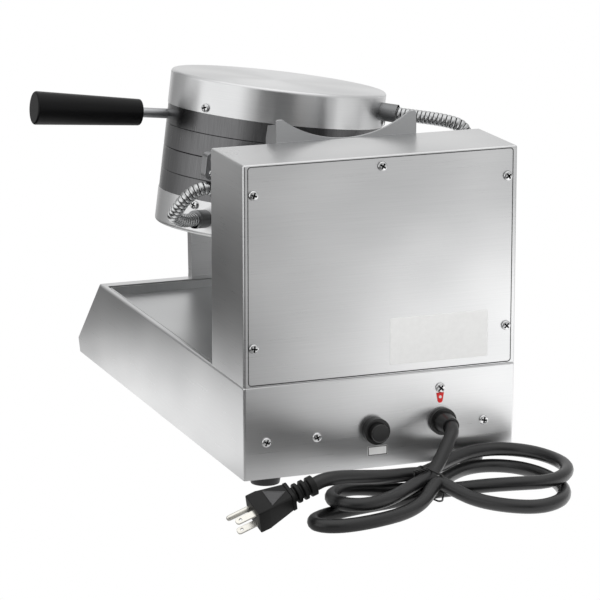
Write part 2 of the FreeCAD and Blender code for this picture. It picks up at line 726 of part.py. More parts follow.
NODES["tower_shell"] = tower_shell().fuse(stop_studs().Solids)
NODES["bearing_bracket"] = bearing_bracket()
NODES["base_bolts"] = Part.makeCompound([foot_screws(), bracket_bolts()])
NODES["rear_bush"] = rear_bush()
NODES["shaft_collar"] = shaft_collar()


# Front bearing: a folded post square to the flip axis, and its bush
TRUNNION_TAB = 4.0
TRUNNION_BLOCK = 7.5
TRUNNION_FACE = -(CAST_RADIUS + TRUNNION_BLOCK + TRUNNION_TAB)
POST_FACE = TRUNNION_FACE - 16.0
POST_WING = 7.0
POST_CUT = 200.0
FRONT_BUSH = PIN_RADIUS + RUNNING_FIT + BUSH_WALL
POST_SCREWS = [-24.0, 24.0]


def front_post():
    y0 = POST_FACE - POST_THICK
    web = box(-POST_HALF, POST_HALF, y0, POST_FACE, -POST_CUT, 0)
    crown = rod(POST_HALF, Vector(0, y0, 0), Vector(0, POST_FACE, 0))
    wings = [box(side * POST_HALF - (POST_THICK if side > 0 else 0),
                 side * POST_HALF + (0 if side > 0 else POST_THICK),
                 y0 - POST_WING, y0, -POST_CUT, -20.0) for side in (-1, 1)]
    post = on_axis(web.fuse([crown] + wings).removeSplitter())
    below = box(-BEHIND, BEHIND, -BEHIND, BEHIND, -BEHIND, BASE_TOP)
    foot = box(-POST_HALF, POST_HALF, FRONT_TOP_Y + 0.5, OPENING_FRONT - 0.5,
               BASE_TOP, BASE_TOP + POST_THICK)
    hole = axis_rod(FRONT_BUSH, POST_FACE - 30.0, POST_FACE + 30.0)
    return post.cut(below).fuse(foot).removeSplitter().cut(hole)


def front_bush():
    y0 = POST_FACE - POST_THICK - 4.0
    sleeve = axis_rod(FRONT_BUSH, y0, POST_FACE + 2.0)
    flange = axis_rod(FRONT_BUSH + 4.0, POST_FACE, POST_FACE + 2.0)
    bore = axis_rod(PIN_RADIUS + RUNNING_FIT, y0 - 1.0, POST_FACE + 3.0)
    return sleeve.fuse(flange).removeSplitter().cut(bore)


NODES["front_post"] = front_post()
NODES["front_bush"] = front_bush()


# Baking head halves, drawn for the lower one about the head's own centre
SPIGOT_RADIUS = SHELL_RADIUS - SHELL_SHEET - 0.1
SHELL_SCREW_ANGLES = [60.0, -60.0, 180.0]
SHELL_SCREW_HEIGHT = SHELL_EDGE + SPIGOT / 2 + 0.5
GRID_BOLT_INSET = 20.4
GRID_BOLT_RADIUS = CAST_RADIUS - GRID_BOLT_INSET
GRID_BOLT_ANGLES = [45.0, 135.0, 225.0, 315.0]
HEATER_GAP = 20.0
UP = Vector(0, 0, 1)


def round_spot(degrees, radius, z):
    """A place on the head, with its angle taken from +Y towards +X."""
    angle = math.radians(degrees)
    return Vector(radius * math.sin(angle), radius * math.cos(angle), z)


def disc(radius, z0, z1):
    return Part.makeCylinder(radius, z1 - z0, Vector(0, 0, z0))


def shell_screws():
    made = []
    for degrees in SHELL_SCREW_ANGLES:
        seat = round_spot(degrees, SHELL_RADIUS, -SHELL_SCREW_HEIGHT)
        made.append(pan_screw(seat, round_spot(degrees, 1.0, 0), 8.5, 3.6, 2.2))
    return Part.makeCompound(made)


def shell_screw_holes():
    return [screw_hole(round_spot(degrees, SHELL_RADIUS, -SHELL_SCREW_HEIGHT),
                       round_spot(degrees, 1.0, 0), 9.0) for degrees in SHELL_SCREW_ANGLES]


def head_shell(socket_angle):
    cup = disc(SHELL_RADIUS, -HEAD_HALF, -SHELL_EDGE)
    cup = round_edges(cup, SHELL_CORNER, lambda b: b.ZMax < -HEAD_HALF + 0.01)
    hollow = disc(SHELL_RADIUS - SHELL_SHEET, -HEAD_HALF + SHELL_SHEET, 0)
    hollow = round_edges(hollow, SHELL_CORNER - SHELL_SHEET,
                         lambda b: b.ZMax < -HEAD_HALF + SHELL_SHEET + 0.01)
    hole = rod(CONDUIT_RADIUS, round_spot(socket_angle, PAD_RADIUS, -SOCKET_HEIGHT),
               round_spot(socket_angle, SHELL_RADIUS + 5, -SOCKET_HEIGHT))
    return cup.cut([hollow, hole] + shell_screw_holes())


def grid_bolts():
    made = []
    for degrees in GRID_BOLT_ANGLES:
        seat = round_spot(degrees, GRID_BOLT_RADIUS, -SHELL_EDGE)
        made.append(pan_screw(seat, UP * -1, SHELL_EDGE - SEAM + 9.0, BOLT_HEAD, BOLT_HEAD_HEIGHT, BOLT_SHANK))
    return Part.makeCompound(made)


def grid_bolt_holes(length):
    return [screw_hole(round_spot(degrees, GRID_BOLT_RADIUS, -SHELL_EDGE), UP * -1, length, BOLT_SHANK)
            for degrees in GRID_BOLT_ANGLES]


def heater():
    level = -SEAM - HEATER_WIRE - 0.2
    loop = Part.makeTorus(HEATER_RADIUS, HEATER_WIRE, Vector(0, 0, level), UP, -180, 180, 360 - HEATER_GAP)
    loop.rotate(Vector(), UP, 90 + HEATER_GAP / 2)
    made = [loop]
    for degrees in (-HEATER_GAP / 2, HEATER_GAP / 2):
        corner = round_spot(degrees, HEATER_RADIUS, level)
        made.append(Part.makeSphere(HEATER_WIRE, corner))
        made.append(rod(HEATER_WIRE, corner, Vector(corner.x, corner.y, -SHELL_EDGE - SPIGOT)))
    return made[0].fuse(made[1:]).removeSplitter()


def head_housing():
    band = disc(CAST_RADIUS, -SHELL_EDGE, -SEAM)
    band = band.makeChamfer(0.5, [e for e in band.Edges if e.BoundBox.ZMin > -SEAM - 0.01])
    spigot = disc(SPIGOT_RADIUS, -SHELL_EDGE - SPIGOT, -SHELL_EDGE)
    spigot = spigot.cut(disc(SPIGOT_RADIUS - SPIGOT_WALL, -HEAD_HALF, -SHELL_EDGE))
    wide = HEATER_WIRE + 0.3
    groove = disc(HEATER_RADIUS + wide, -SEAM - 2 * wide, 0).cut(disc(HEATER_RADIUS - wide, -HEAD_HALF, 0))
    leads = [rod(wide, round_spot(degrees, HEATER_RADIUS, -HEAD_HALF), round_spot(degrees, HEATER_RADIUS, -SEAM))
             for degrees in (-HEATER_GAP / 2, HEATER_GAP / 2)]
    cuts = [groove] + leads + shell_screw_holes() + grid_bolt_holes(SHELL_EDGE)
    return band.fuse(spigot).removeSplitter().cut(cuts)


def head_grid():
    plate = disc(CAST_RADIUS, -SEAM, -PARTING)
    plate = plate.makeChamfer(0.5, list(plate.Edges[:1]) + list(plate.Edges[2:]))
    reach = int(WAFFLE_RADIUS // WAFFLE_PITCH)
    grooves = []
    for step in range(-reach, reach + 1):
        middle = step * WAFFLE_PITCH
        half = math.sqrt(max(WAFFLE_RADIUS ** 2 - middle ** 2, WAFFLE_PITCH ** 2))
        low = -PARTING - WAFFLE_DEPTH
        side = WAFFLE_GROOVE / 2
        grooves.append(box(middle - side, middle + side, -half, half, low, 1.0))
        grooves.append(box(-half, half, middle - side, middle + side, low, 1.0))
    return plate.cut(grooves + grid_bolt_holes(SHELL_EDGE - SEAM + 9.5))


def insulation():
    return disc(PAD_RADIUS, -HEAD_HALF + SHELL_SHEET + 0.2, -SHELL_EDGE - SPIGOT - 2.0)


def socket(degrees):
    """The threaded conduit socket: a round body outside the shell and a neck through it."""
    outer = round_spot(degrees, SHELL_RADIUS + SOCKET_LENGTH, -SOCKET_HEIGHT)
    body = rod(SOCKET_RADIUS, round_spot(degrees, PAD_RADIUS, -SOCKET_HEIGHT), outer)
    body = body.cut(disc(SHELL_RADIUS + SADDLE_CLEAR, -HEAD_HALF, 0))
    neck = rod(CONDUIT_RADIUS - SADDLE_CLEAR, round_spot(degrees, PAD_RADIUS + 2.0, -SOCKET_HEIGHT),
               round_spot(degrees, SHELL_RADIUS + 3.0, -SOCKET_HEIGHT))
    bore = rod(CONDUIT_BORE, round_spot(degrees, PAD_RADIUS, -SOCKET_HEIGHT), outer * 1.1)
    return body.fuse(neck).removeSplitter().cut(bore)


# Handle: a bent-down rod in the upper casting with a tapered grip
def handle_piece(shape):
    shape.rotate(Vector(CAST_RADIUS, 0, HANDLE_HEIGHT), Vector(0, 1, 0), HANDLE_DROOP)
    return shape


def handle_rod():
    start = Vector(CAST_RADIUS - SPIGOT_WALL, HANDLE_SIDE, HANDLE_HEIGHT)
    return handle_piece(rod(HANDLE_ROD, start, Vector(GRIP_START + 25.0, HANDLE_SIDE, HANDLE_HEIGHT)))


def handle_grip():
    start = Vector(GRIP_START, HANDLE_SIDE, HANDLE_HEIGHT)
    grip = Part.makeCone(GRIP_INNER, GRIP_OUTER, GRIP_LENGTH, start, Vector(1, 0, 0))
    grip = round_edges(grip, 2.0, lambda b: b.XLength < 0.01)
    return handle_piece(grip).cut(handle_rod())


# Lid hinge at the head's -X side
HINGE_X = -(CAST_RADIUS + HINGE_REACH)


def hinge_lug(y0, y1, side, bore):
    """A bolted block on the casting with an arm and a knuckle; side is -1 below and +1 above."""
    block_z = sorted((side * LUG_CLEAR, side * (SHELL_EDGE - 5.0)))
    arm_z = sorted((side * LUG_CLEAR, side * KNUCKLE_RADIUS))
    block = box(-CAST_RADIUS - 6.0, -CAST_RADIUS + 12.0, y0, y1, *block_z)
    arm = box(HINGE_X, -CAST_RADIUS + 12.0, y0, y1, *arm_z)
    knuckle = rod(KNUCKLE_RADIUS, Vector(HINGE_X, y0, 0), Vector(HINGE_X, y1, 0))
    lug = knuckle.fuse([block, arm]).removeSplitter()
    seat = disc(CAST_RADIUS + SADDLE_CLEAR, -HEAD_HALF, HEAD_HALF)
    hole = rod(bore, Vector(HINGE_X, y0 - 1, 0), Vector(HINGE_X, y1 + 1, 0))
    return lug.cut([seat, hole])


def upper_hinge_lugs():
    inner = HINGE_HALF + HINGE_GAP
    bore = HINGE_PIN + RUNNING_FIT
    return Part.makeCompound([hinge_lug(inner, HINGE_OUTER, 1, bore), hinge_lug(-HINGE_OUTER, -inner, 1, bore)])


def hinge_pin():
    return rod(HINGE_PIN, Vector(HINGE_X, -HINGE_OUTER - 1, 0), Vector(HINGE_X, HINGE_OUTER + 1, 0))


# Yoke, rotating junction box, hollow shaft and front trunnion
YOKE_FACE = SHELL_RADIUS + YOKE_GAP
BOX_FACE = YOKE_FACE + YOKE_THICK
COVER_FACE = BOX_FACE + BOX_DEPTH
ELBOW_Y = BOX_FACE + BOX_DEPTH / 2
SADDLE_LOW = SHELL_EDGE - 2.0
SADDLE_HIGH = 3.0
YOKE_BOLTS = [-34.0, -15.0, 15.0, 34.0]
YOKE_BOLT_Z = -28.0
YOKE_BOLT_CLEAR = 0.5


def casting_space():
    return disc(CAST_RADIUS + SADDLE_CLEAR, -HEAD_HALF, HEAD_HALF)


def yoke_bolt_holes(length):
    return [screw_hole(Vector(x, BOX_FACE, YOKE_BOLT_Z), REAR, length, BOLT_SHANK) for x in YOKE_BOLTS]


def yoke_plate():
    plate = box(-YOKE_HALF, YOKE_HALF, YOKE_FACE, BOX_FACE, -YOKE_HALF, YOKE_TOP)
    return round_edges(plate, 6.0, lambda b: along(b, 1)).cut(yoke_bolt_holes(YOKE_THICK + 1))


def rear_saddle():
    block = box(-YOKE_HALF, YOKE_HALF, 60.0, YOKE_FACE, -SADDLE_LOW, -SADDLE_HIGH)
    return block.cut([casting_space()] + yoke_bolt_holes(YOKE_THICK + 40.0))


def yoke_bolts():
    made = []
    for x in YOKE_BOLTS:
        inner = abs(x) - BOLT_SHANK
        rim = BOX_FACE - math.sqrt(CAST_RADIUS ** 2 - inner ** 2)
        made.append(pan_screw(Vector(x, BOX_FACE, YOKE_BOLT_Z), REAR, rim - YOKE_BOLT_CLEAR, BOLT_HEAD,
                              BOLT_HEAD_HEIGHT, BOLT_SHANK))
    return Part.makeCompound(made)


def box_end_screws():
    return [Vector(side * (BOX_HALF_LENGTH - BOX_END / 2), COVER_FACE + SHEET, z)
            for side in (-1, 1) for z in (-6.0, 6.0)]


def junction_box():
    case = box(-BOX_HALF_LENGTH, BOX_HALF_LENGTH, BOX_FACE, COVER_FACE, -BOX_HALF_HEIGHT, BOX_HALF_HEIGHT)
    case = round_edges(case, BOX_CORNER, lambda b: along(b, 1))
    room = box(-BOX_HALF_LENGTH + BOX_END, BOX_HALF_LENGTH - BOX_END, BOX_FACE + SHEET, COVER_FACE + 1,
               -BOX_HALF_HEIGHT + SHEET, BOX_HALF_HEIGHT - SHEET)
    cuts = [room, rod(SHAFT_RADIUS, Vector(0, BOX_FACE - 1, 0), Vector(0, COVER_FACE + 1, 0))]
    neck = CONDUIT_BORE + 0.4
    cuts.append(rod(neck, Vector(ELBOW_X, ELBOW_Y, -BOX_HALF_HEIGHT - 1), Vector(ELBOW_X, ELBOW_Y, 0)))
    cuts.append(rod(neck, Vector(-ELBOW_X, ELBOW_Y, BOX_HALF_HEIGHT + 1), Vector(-ELBOW_X, ELBOW_Y, 0)))
    cuts += [screw_hole(seat, REAR, 9.0, 1.4) for seat in box_end_screws()]
    return case.cut(cuts)


def junction_cover():
    plate = box(-BOX_HALF_LENGTH, BOX_HALF_LENGTH, COVER_FACE, COVER_FACE + SHEET,
                -BOX_HALF_HEIGHT, BOX_HALF_HEIGHT)
    plate = round_edges(plate, BOX_CORNER, lambda b: along(b, 1))
    hole = rod(SHAFT_RADIUS + 0.2, Vector(0, COVER_FACE - 1, 0), Vector(0, COVER_FACE + SHEET + 1, 0))
    return plate.cut([hole] + [screw_hole(seat, REAR, 9.0, 1.4) for seat in box_end_screws()])


def junction_screws():
    return Part.makeCompound([pan_screw(seat, REAR, 8.0, 2.8, 1.8, 1.4) for seat in box_end_screws()])


def elbow():
    """A right-angled connector under the box, facing outwards along +X."""
    corner = Vector(ELBOW_X, ELBOW_Y, -BOX_HALF_HEIGHT - ELBOW_DROP)
    stem = rod(ELBOW_RADIUS, corner, Vector(ELBOW_X, ELBOW_Y, -BOX_HALF_HEIGHT))
    arm = rod(ELBOW_RADIUS, corner, corner + Vector(ELBOW_REACH, 0, 0))
    neck = rod(CONDUIT_BORE + 0.4, corner, Vector(ELBOW_X, ELBOW_Y, -BOX_HALF_HEIGHT + SHEET))
    return stem.fuse([arm, Part.makeSphere(ELBOW_RADIUS, corner), neck]).removeSplitter()


def flip_shaft():
    end = AXIS_TO_TOWER + SHAFT_INSIDE
    shaft = rod(SHAFT_RADIUS, Vector(0, BOX_FACE, 0), Vector(0, end, 0))
    bore = rod(SHAFT_BORE, Vector(0, BOX_FACE + SHEET, 0), Vector(0, end + 1, 0))
    port = rod(SHAFT_BORE - 2.0, Vector(-SHAFT_RADIUS - 1, ELBOW_Y, 0), Vector(SHAFT_RADIUS + 1, ELBOW_Y, 0))
    return shaft.cut([bore, port])


def front_trunnion():
    """A cast foot on the lower half, its upright tab and the pin that runs in the front bush."""
    face = TRUNNION_FACE + TRUNNION_TAB
    foot = box(-20.0, 20.0, face, -60.0, -SADDLE_LOW, -SADDLE_HIGH - 1.0).cut(casting_space())
    tab = box(-16.0, 16.0, TRUNNION_FACE, face, -SADDLE_LOW, 14.0)
    tab = round_edges(tab, 8.0, lambda b: along(b, 1) and b.ZMin > 13.9)
    pin = rod(PIN_RADIUS, Vector(0, TRUNNION_FACE, 0), Vector(0, POST_FACE - POST_THICK - 6.0, 0))
    return foot.fuse([tab, pin]).removeSplitter()


# Conduits, from the box elbow round to the socket on each half
def socket_mouth(degrees, height, out=0.0):
    return round_spot(degrees, SHELL_RADIUS + SOCKET_LENGTH + out, height)


def lower_conduit():
    level = -BOX_HALF_HEIGHT - ELBOW_DROP
    mouth = Vector(ELBOW_X + ELBOW_REACH, ELBOW_Y, level)
    route = [
        mouth,
        mouth + Vector(7.0, 0, 0),
        Vector(109.0, 108.0, -25.0),
        Vector(115.5, 104.0, -33.0),
        Vector(119.0, 98.5, -42.0),
        Vector(119.0, 91.0, -50.0),
        socket_mouth(SOCKET_ANGLE, -SOCKET_HEIGHT, 18.0),
        socket_mouth(SOCKET_ANGLE, -SOCKET_HEIGHT),
    ]
    return soft_tube("lower_conduit", route, CONDUIT_RADIUS, CONDUIT_BORE)


def upper_conduit():
    level = BOX_HALF_HEIGHT + ELBOW_DROP
    mouth = Vector(-ELBOW_X - ELBOW_REACH, ELBOW_Y, level)
    route = [
        mouth,
        mouth + Vector(-22.0, 0, 0),
        Vector(-138.0, 109.0, 24.0),
        Vector(-148.0, 105.0, 36.0),
        Vector(-145.0, 102.0, 49.0),
        socket_mouth(-SOCKET_ANGLE, SOCKET_HEIGHT, 45.0),
        socket_mouth(-SOCKET_ANGLE, SOCKET_HEIGHT),
    ]
    return soft_tube("upper_conduit", route, CONDUIT_RADIUS, CONDUIT_BORE)


LOWER_HALF = {
    "lower_shell": head_shell(SOCKET_ANGLE),
    "lower_housing": head_housing(),
    "lower_grid": head_grid(),
    "lower_heater": heater(),
    "lower_insulation": insulation(),
    "lower_fasteners": Part.makeCompound([shell_screws(), grid_bolts()]),
    "lower_socket": socket(SOCKET_ANGLE),
    "lower_conduit": lower_conduit(),
    "lower_hinge_lug": hinge_lug(-HINGE_HALF, HINGE_HALF, -1, HINGE_PIN),
    "hinge_pin": hinge_pin(),
    "yoke": yoke_plate().fuse(rear_saddle()).removeSplitter(),
    "yoke_fasteners": Part.makeCompound([yoke_bolts(), junction_screws()]),
    "junction_box": junction_box(),
    "junction_cover": junction_cover(),
    "box_elbows": Part.makeCompound([elbow(), turned(elbow())]),
    "flip_shaft": flip_shaft(),
    "front_trunnion": front_trunnion(),
    "upper_conduit": upper_conduit(),
}
UPPER_HALF = {
    "upper_shell": flipped(head_shell(-SOCKET_ANGLE)),
    "upper_housing": flipped(head_housing()).cut(handle_rod()),
    "upper_grid": flipped(head_grid()),
    "upper_heater": flipped(heater()),
    "upper_insulation": flipped(insulation()),
    "upper_fasteners": flipped(Part.makeCompound([shell_screws(), grid_bolts()])),
    "upper_socket": flipped(socket(-SOCKET_ANGLE)),
    "upper_hinge_lugs": upper_hinge_lugs(),
    "handle_rod": handle_rod(),
    "handle_grip": handle_grip(),
}
for name, shape in list(LOWER_HALF.items()) + list(UPPER_HALF.items()):
    NODES[name] = in_head(shape)


# Mains cord: lead out of the gland, tied hank on the counter, tail and plug
CORD_CLEAR = 0.3
CORD_LEAD = [
    rear_point(GLAND_AT, GLAND_LENGTH),
    Vector(-55.5, 264.5, 46.3),
    Vector(-51.5, 270.5, 43.0),
    Vector(-46.0, 276.5, 38.0),
    Vector(-39.5, 282.5, 32.0),
    Vector(-32.5, 289.0, 26.3),
    Vector(-25.5, 296.0, 22.0),
]
CORD_TAIL = [
    Vector(-8.0, 290.5, 17.6),
    Vector(9.0, 299.0, 21.5),
    Vector(29.0, 311.0, 26.2),
    Vector(48.8, 321.3, 31.2),
    Vector(66.5, 329.0, 35.2),
    Vector(80.0, 334.5, 37.6),
    Vector(91.5, 337.6, 37.9),
    Vector(100.2, 338.5, 34.8),
]
TIE_AT = Vector(-19.0, 303.0, 0)
TIE_TURN = 14.0
TIE_WIDTH = 5.0
TIE_BAND = 1.8
BUNDLE_WIDE = 37.0
BUNDLE_HIGH = 23.0
HANK_RIGHT = Vector(-90.0, 313.0, 0)
HANK_RIGHT_LONG = 71.0
HANK_RIGHT_SHORT = 57.0
HANK_LEFT = Vector(80.0, 349.0, 0)
HANK_LEFT_RADIUS = 29.0
PLUG_TURN = 2.0
PLUG_DROP = 19.4
PLUG_ROLL = -119.0
PLUG_BODY = 35.0
PLUG_BLOCK = 10.0
PLUG_RELIEF = 22.0
PLUG_FACE_WIDE = 24.5
PLUG_FACE_HIGH = 24.5
PLUG_NECK = 18.4
PLUG_SLEEVE = 1.8
BLADE_SPACING = 12.7
BLADE_WIDE = 6.3
BLADE_THICK = 1.5
BLADE_LONG = 18.0
BLADE_RISE = 4.5
EARTH_PIN = 2.4
EARTH_OFFSET = 11.9


def in_bundle(shape):
    moved = shape.copy()
    moved.Placement = Placement(TIE_AT, Rotation(UP, TIE_TURN)).multiply(moved.Placement)
    return moved


def cord_tie():
    wide = BUNDLE_WIDE / 2
    ring = box(-TIE_WIDTH / 2, TIE_WIDTH / 2, -wide - TIE_BAND, wide + TIE_BAND, 0, BUNDLE_HIGH + 2 * TIE_BAND)
    ring = round_edges(ring, 6.0, lambda b: along(b, 0))
    hole = box(-TIE_WIDTH, TIE_WIDTH, -wide, wide, TIE_BAND, BUNDLE_HIGH + TIE_BAND)
    return in_bundle(ring.cut(round_edges(hole, 4.5, lambda b: along(b, 0))))


def cord_hank():
    """The outer shape of the folded cord: a wide loop, the tied waist and a narrow loop."""
    right = Part.Ellipse(HANK_RIGHT, HANK_RIGHT_LONG, HANK_RIGHT_SHORT).toShape()
    right.rotate(HANK_RIGHT, UP, 90)
    right = Part.Face(Part.Wire(right)).extrude(Vector(0, 0, BUNDLE_HIGH))
    wide = BUNDLE_WIDE / 2
    waist = box(-34.0, 16.0, -wide, wide, TIE_BAND, BUNDLE_HIGH + TIE_BAND)
    waist = in_bundle(round_edges(waist, 4.5, lambda b: along(b, 0)))
    left = Part.makeCylinder(HANK_LEFT_RADIUS, BUNDLE_HIGH, HANK_LEFT)
    way = (HANK_LEFT - TIE_AT).normalize()
    cross = Vector(-way.y, way.x, 0)
    start = TIE_AT + way * (TIE_WIDTH + 3.0)
    corners = [start - cross * wide, HANK_LEFT - cross * HANK_LEFT_RADIUS,
               HANK_LEFT + cross * HANK_LEFT_RADIUS, start + cross * wide]
    fan = prism_along_z([(p.x, p.y) for p in corners], 0, BUNDLE_HIGH)
    groove = soft_tube("tail_groove", CORD_TAIL, CORD_RADIUS + CORD_CLEAR)
    return right.fuse([waist, left, fan]).removeSplitter().cut(groove)


PLUG_START = CORD_TAIL[-1]
PLUG_WAY = Rotation(UP, PLUG_TURN).multiply(Rotation(Vector(0, 1, 0), PLUG_DROP))
PLUG_FRAME = Placement(PLUG_START, PLUG_WAY.multiply(Rotation(Vector(1, 0, 0), PLUG_ROLL)))


def in_plug(shape):
    moved = shape.copy()
    moved.Placement = PLUG_FRAME.multiply(moved.Placement)
    return moved


def square_wire(x, wide, high):
    corners = [Vector(x, side * wide / 2, rise * high / 2) for side, rise in ((-1, -1), (1, -1), (1, 1), (-1, 1))]
    return Part.makePolygon(corners + corners[:1])


def plug_body():
    relief = Part.makeCone(CORD_RADIUS + PLUG_SLEEVE, PLUG_NECK / 2, PLUG_RELIEF, Vector(), Vector(1, 0, 0))
    end = PLUG_RELIEF + PLUG_BODY
    wide = end - PLUG_BLOCK
    body = Part.makeLoft([
        square_wire(PLUG_RELIEF, PLUG_NECK, PLUG_NECK),
        square_wire(wide, PLUG_FACE_WIDE, PLUG_FACE_HIGH),
        square_wire(end, PLUG_FACE_WIDE, PLUG_FACE_HIGH),
    ], True, True)
    return in_plug(relief.fuse(body).removeSplitter())


def plug_blades():
    face = PLUG_RELIEF + PLUG_BODY
    made = []
    for side in (-1, 1):
        y = side * BLADE_SPACING / 2
        made.append(box(face, face + BLADE_LONG, y - BLADE_THICK / 2, y + BLADE_THICK / 2,
                        BLADE_RISE - BLADE_WIDE / 2, BLADE_RISE + BLADE_WIDE / 2))
    z = BLADE_RISE - EARTH_OFFSET
    made.append(rod(EARTH_PIN, Vector(face, 0, z), Vector(face + BLADE_LONG + 3.0, 0, z)))
    return in_plug(Part.makeCompound(made))


NODES["cord_lead"] = soft_tube("cord_lead", CORD_LEAD, CORD_RADIUS)
NODES["cord_hank"] = cord_hank()
NODES["cord_tail"] = soft_tube("cord_tail", CORD_TAIL, CORD_RADIUS)
NODES["cord_tie"] = cord_tie()
NODES["plug_body"] = plug_body()
NODES["plug_blades"] = plug_blades()


# Write one file for each piece
print("hinge point", HEAD_FRAME.multVec(Vector(HINGE_X, 0, 0)), "flip range", FLIP_RANGE)
print("slope", round(SLOPE, 3), "rocker pivot", SLOPE_FRAME.multVec(Vector(ROCKER_X, 0, ROCKER_PIVOT)),
      "knob", SLOPE_FRAME.multVec(Vector(KNOB_X, 0, 0)))
for name, shape in NODES.items():
    if not shape.isValid() or shape.Volume <= 0:
        print("bad solid", name)
    shape.exportStep("parts/" + name + ".step")
print(len(NODES), "nodes")
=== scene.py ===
# %% [markdown]
# # Waffle cone maker
# A round two-plate iron turns over on a shaft between a sheet steel tower and a front post.
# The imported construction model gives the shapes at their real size, and this script gives the looks.
# Folded sheet and castings keep their construction solids and only get a finish. What catches the eye
# close up, such as screw heads, ribbed conduit and the cord, is drawn again in more detail.
# Lengths are in metres, the counter is z = 0, the rear of the machine faces +Y and the handle +X.

import math

import bpy
from mathutils import Matrix, Vector


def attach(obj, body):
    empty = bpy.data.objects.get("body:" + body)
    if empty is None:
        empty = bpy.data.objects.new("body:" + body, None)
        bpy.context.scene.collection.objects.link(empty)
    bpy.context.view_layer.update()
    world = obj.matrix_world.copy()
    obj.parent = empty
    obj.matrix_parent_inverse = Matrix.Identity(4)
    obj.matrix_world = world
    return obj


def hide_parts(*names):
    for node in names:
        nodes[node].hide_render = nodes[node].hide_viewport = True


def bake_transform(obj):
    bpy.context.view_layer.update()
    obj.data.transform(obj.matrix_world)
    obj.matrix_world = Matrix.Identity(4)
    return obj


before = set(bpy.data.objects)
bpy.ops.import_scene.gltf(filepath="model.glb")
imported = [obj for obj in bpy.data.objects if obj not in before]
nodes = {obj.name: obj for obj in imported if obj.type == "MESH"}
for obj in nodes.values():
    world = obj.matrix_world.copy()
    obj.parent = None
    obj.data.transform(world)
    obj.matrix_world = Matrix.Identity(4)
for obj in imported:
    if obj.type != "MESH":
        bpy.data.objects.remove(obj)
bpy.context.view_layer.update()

# %% [markdown]
# ## Camera
# The view is from behind the machine, a little to the handle side and a little above.
# A camera could be aimed with a constraint. Its axes are written out, because they were fitted to the
# photograph, and a long lens from far away keeps parallel edges nearly parallel.

# %% Camera
FOCAL_MM = 209.2
SENSOR_MM = 36.0
EYE = (1.0858, 2.9107, 0.8663)
# The columns are the picture's right, its up, and the way back to the eye
EYE_AXES = Matrix((
    (-0.9353, -0.0842, 0.3438),
    (0.3540, -0.2225, 0.9084),
    (0.0, 0.9713, 0.2379),
))
lens = bpy.data.cameras.new("photo_camera")
lens.lens = FOCAL_MM
lens.sensor_width = SENSOR_MM
lens.clip_start = 0.1
lens.clip_end = 30.0
camera = bpy.data.objects.new("photo_camera", lens)
bpy.context.scene.collection.objects.link(camera)
camera.matrix_world = Matrix.Translation(EYE) @ EYE_AXES.to_4x4()
bpy.context.scene.camera = camera
bpy.context.scene.view_settings.view_transform = "Standard"
print("camera looks from", [round(v, 2) for v in camera.location])

# %% [markdown]
# ## Frame of the head
# The shaft slopes a little toward the front, and the head rests a few degrees round from level.
# Everything on the head could be placed by hand in the machine's axes. One frame on the head is
# simpler: there the shells are upright rounds, and their screws and conduits have plain coordinates.

# %% Frame of the head
HEAD_MIDDLE = (0, -0.035, 0.234)
SHAFT_SLOPE = math.radians(2.5)
REST_TURN = math.radians(-8.1)
HEAD = Matrix.Translation(HEAD_MIDDLE) @ Matrix.Rotation(SHAFT_SLOPE, 4, "X")
HEAD = HEAD @ Matrix.Rotation(REST_TURN, 4, "Y")
print("the head's axis leans", round(math.degrees(HEAD.col[2].xyz.angle((0, 0, 1))), 1), "degrees")


# %% [markdown]
# ## Helpers for materials
# Colours are written as sRGB hex, as a colour picker shows them, and one function turns them to linear.
# Nodes could be wired by hand. One small function adds them here, so that each finish reads as a
# short list. Pattern sizes are in millimetres, as the real grain has them.

# %% Helpers for materials
MM = 0.001
MACHINE = Matrix.Identity(4)
# A pattern size that leaves plain coordinates in metres
METRE = (1000, 1000, 1000)


def lin(code):
    """A hex colour as linear red, green, blue and alpha."""
    parts = [int(code[i:i + 2], 16) / 255 for i in (1, 3, 5)]
    return [p / 12.92 if p <= 0.04045 else ((p + 0.055) / 1.055) ** 2.4 for p in parts] + [1.0]


def add(tree, kind, inputs=None, **settings):
    """One node; an input is a number or colour, or the output that feeds it."""
    made = tree.nodes.new(kind)
    for key, value in settings.items():
        setattr(made, key, value)
    for key, value in (inputs or {}).items():
        if isinstance(value, bpy.types.NodeSocket):
            tree.links.new(value, made.inputs[key])
        else:
            made.inputs[key].default_value = value
    return made


def start_material(name):
    """A new material and its node tree, still empty."""
    made = bpy.data.materials.new(name)
    made.use_nodes = True
    made.node_tree.nodes.clear()
    return made, made.node_tree


def place(tree, size, where=MACHINE):
    """Coordinates in a frame, counted in pattern lengths of so many millimetres along each axis."""
    spot = add(tree, "ShaderNodeTexCoord")
    return add(tree, "ShaderNodeMapping", {
        "Vector": spot.outputs["Object"],
        "Location": where.translation,
        "Rotation": where.to_euler(),
        "Scale": [length * MM for length in size],
    }, vector_type="TEXTURE").outputs[0]


print("mid grey is", round(lin("#808080")[0], 3), "in linear light")


# %% [markdown]
# ## Brushed metals
# Nearly all of the machine is stainless sheet, rubbed with a belt that leaves fine parallel scratches.
# The scratches could be an image or real geometry. A noise stretched along the grain is lighter: it
# varies colour and roughness, so that reflections break up across the grain as they do on the sheet.
# Real scratches are far finer than a pixel, so they are drawn about half a millimetre wide to show.
# A slow cloud under the grain keeps a wide panel from looking like one flat tone.

# %% Brushed metals
CLOUD = (110, 110, 70)
GRAIN_SHARE = 0.25
GRAIN_ROUGH = 0.06
GRAIN_BUMP = 0.06
GRAIN_DEPTH = 0.2 * MM
# Softens every sharp edge of the sheet, so that it catches a thin line of light
EDGE_RADIUS = 0.4 * MM


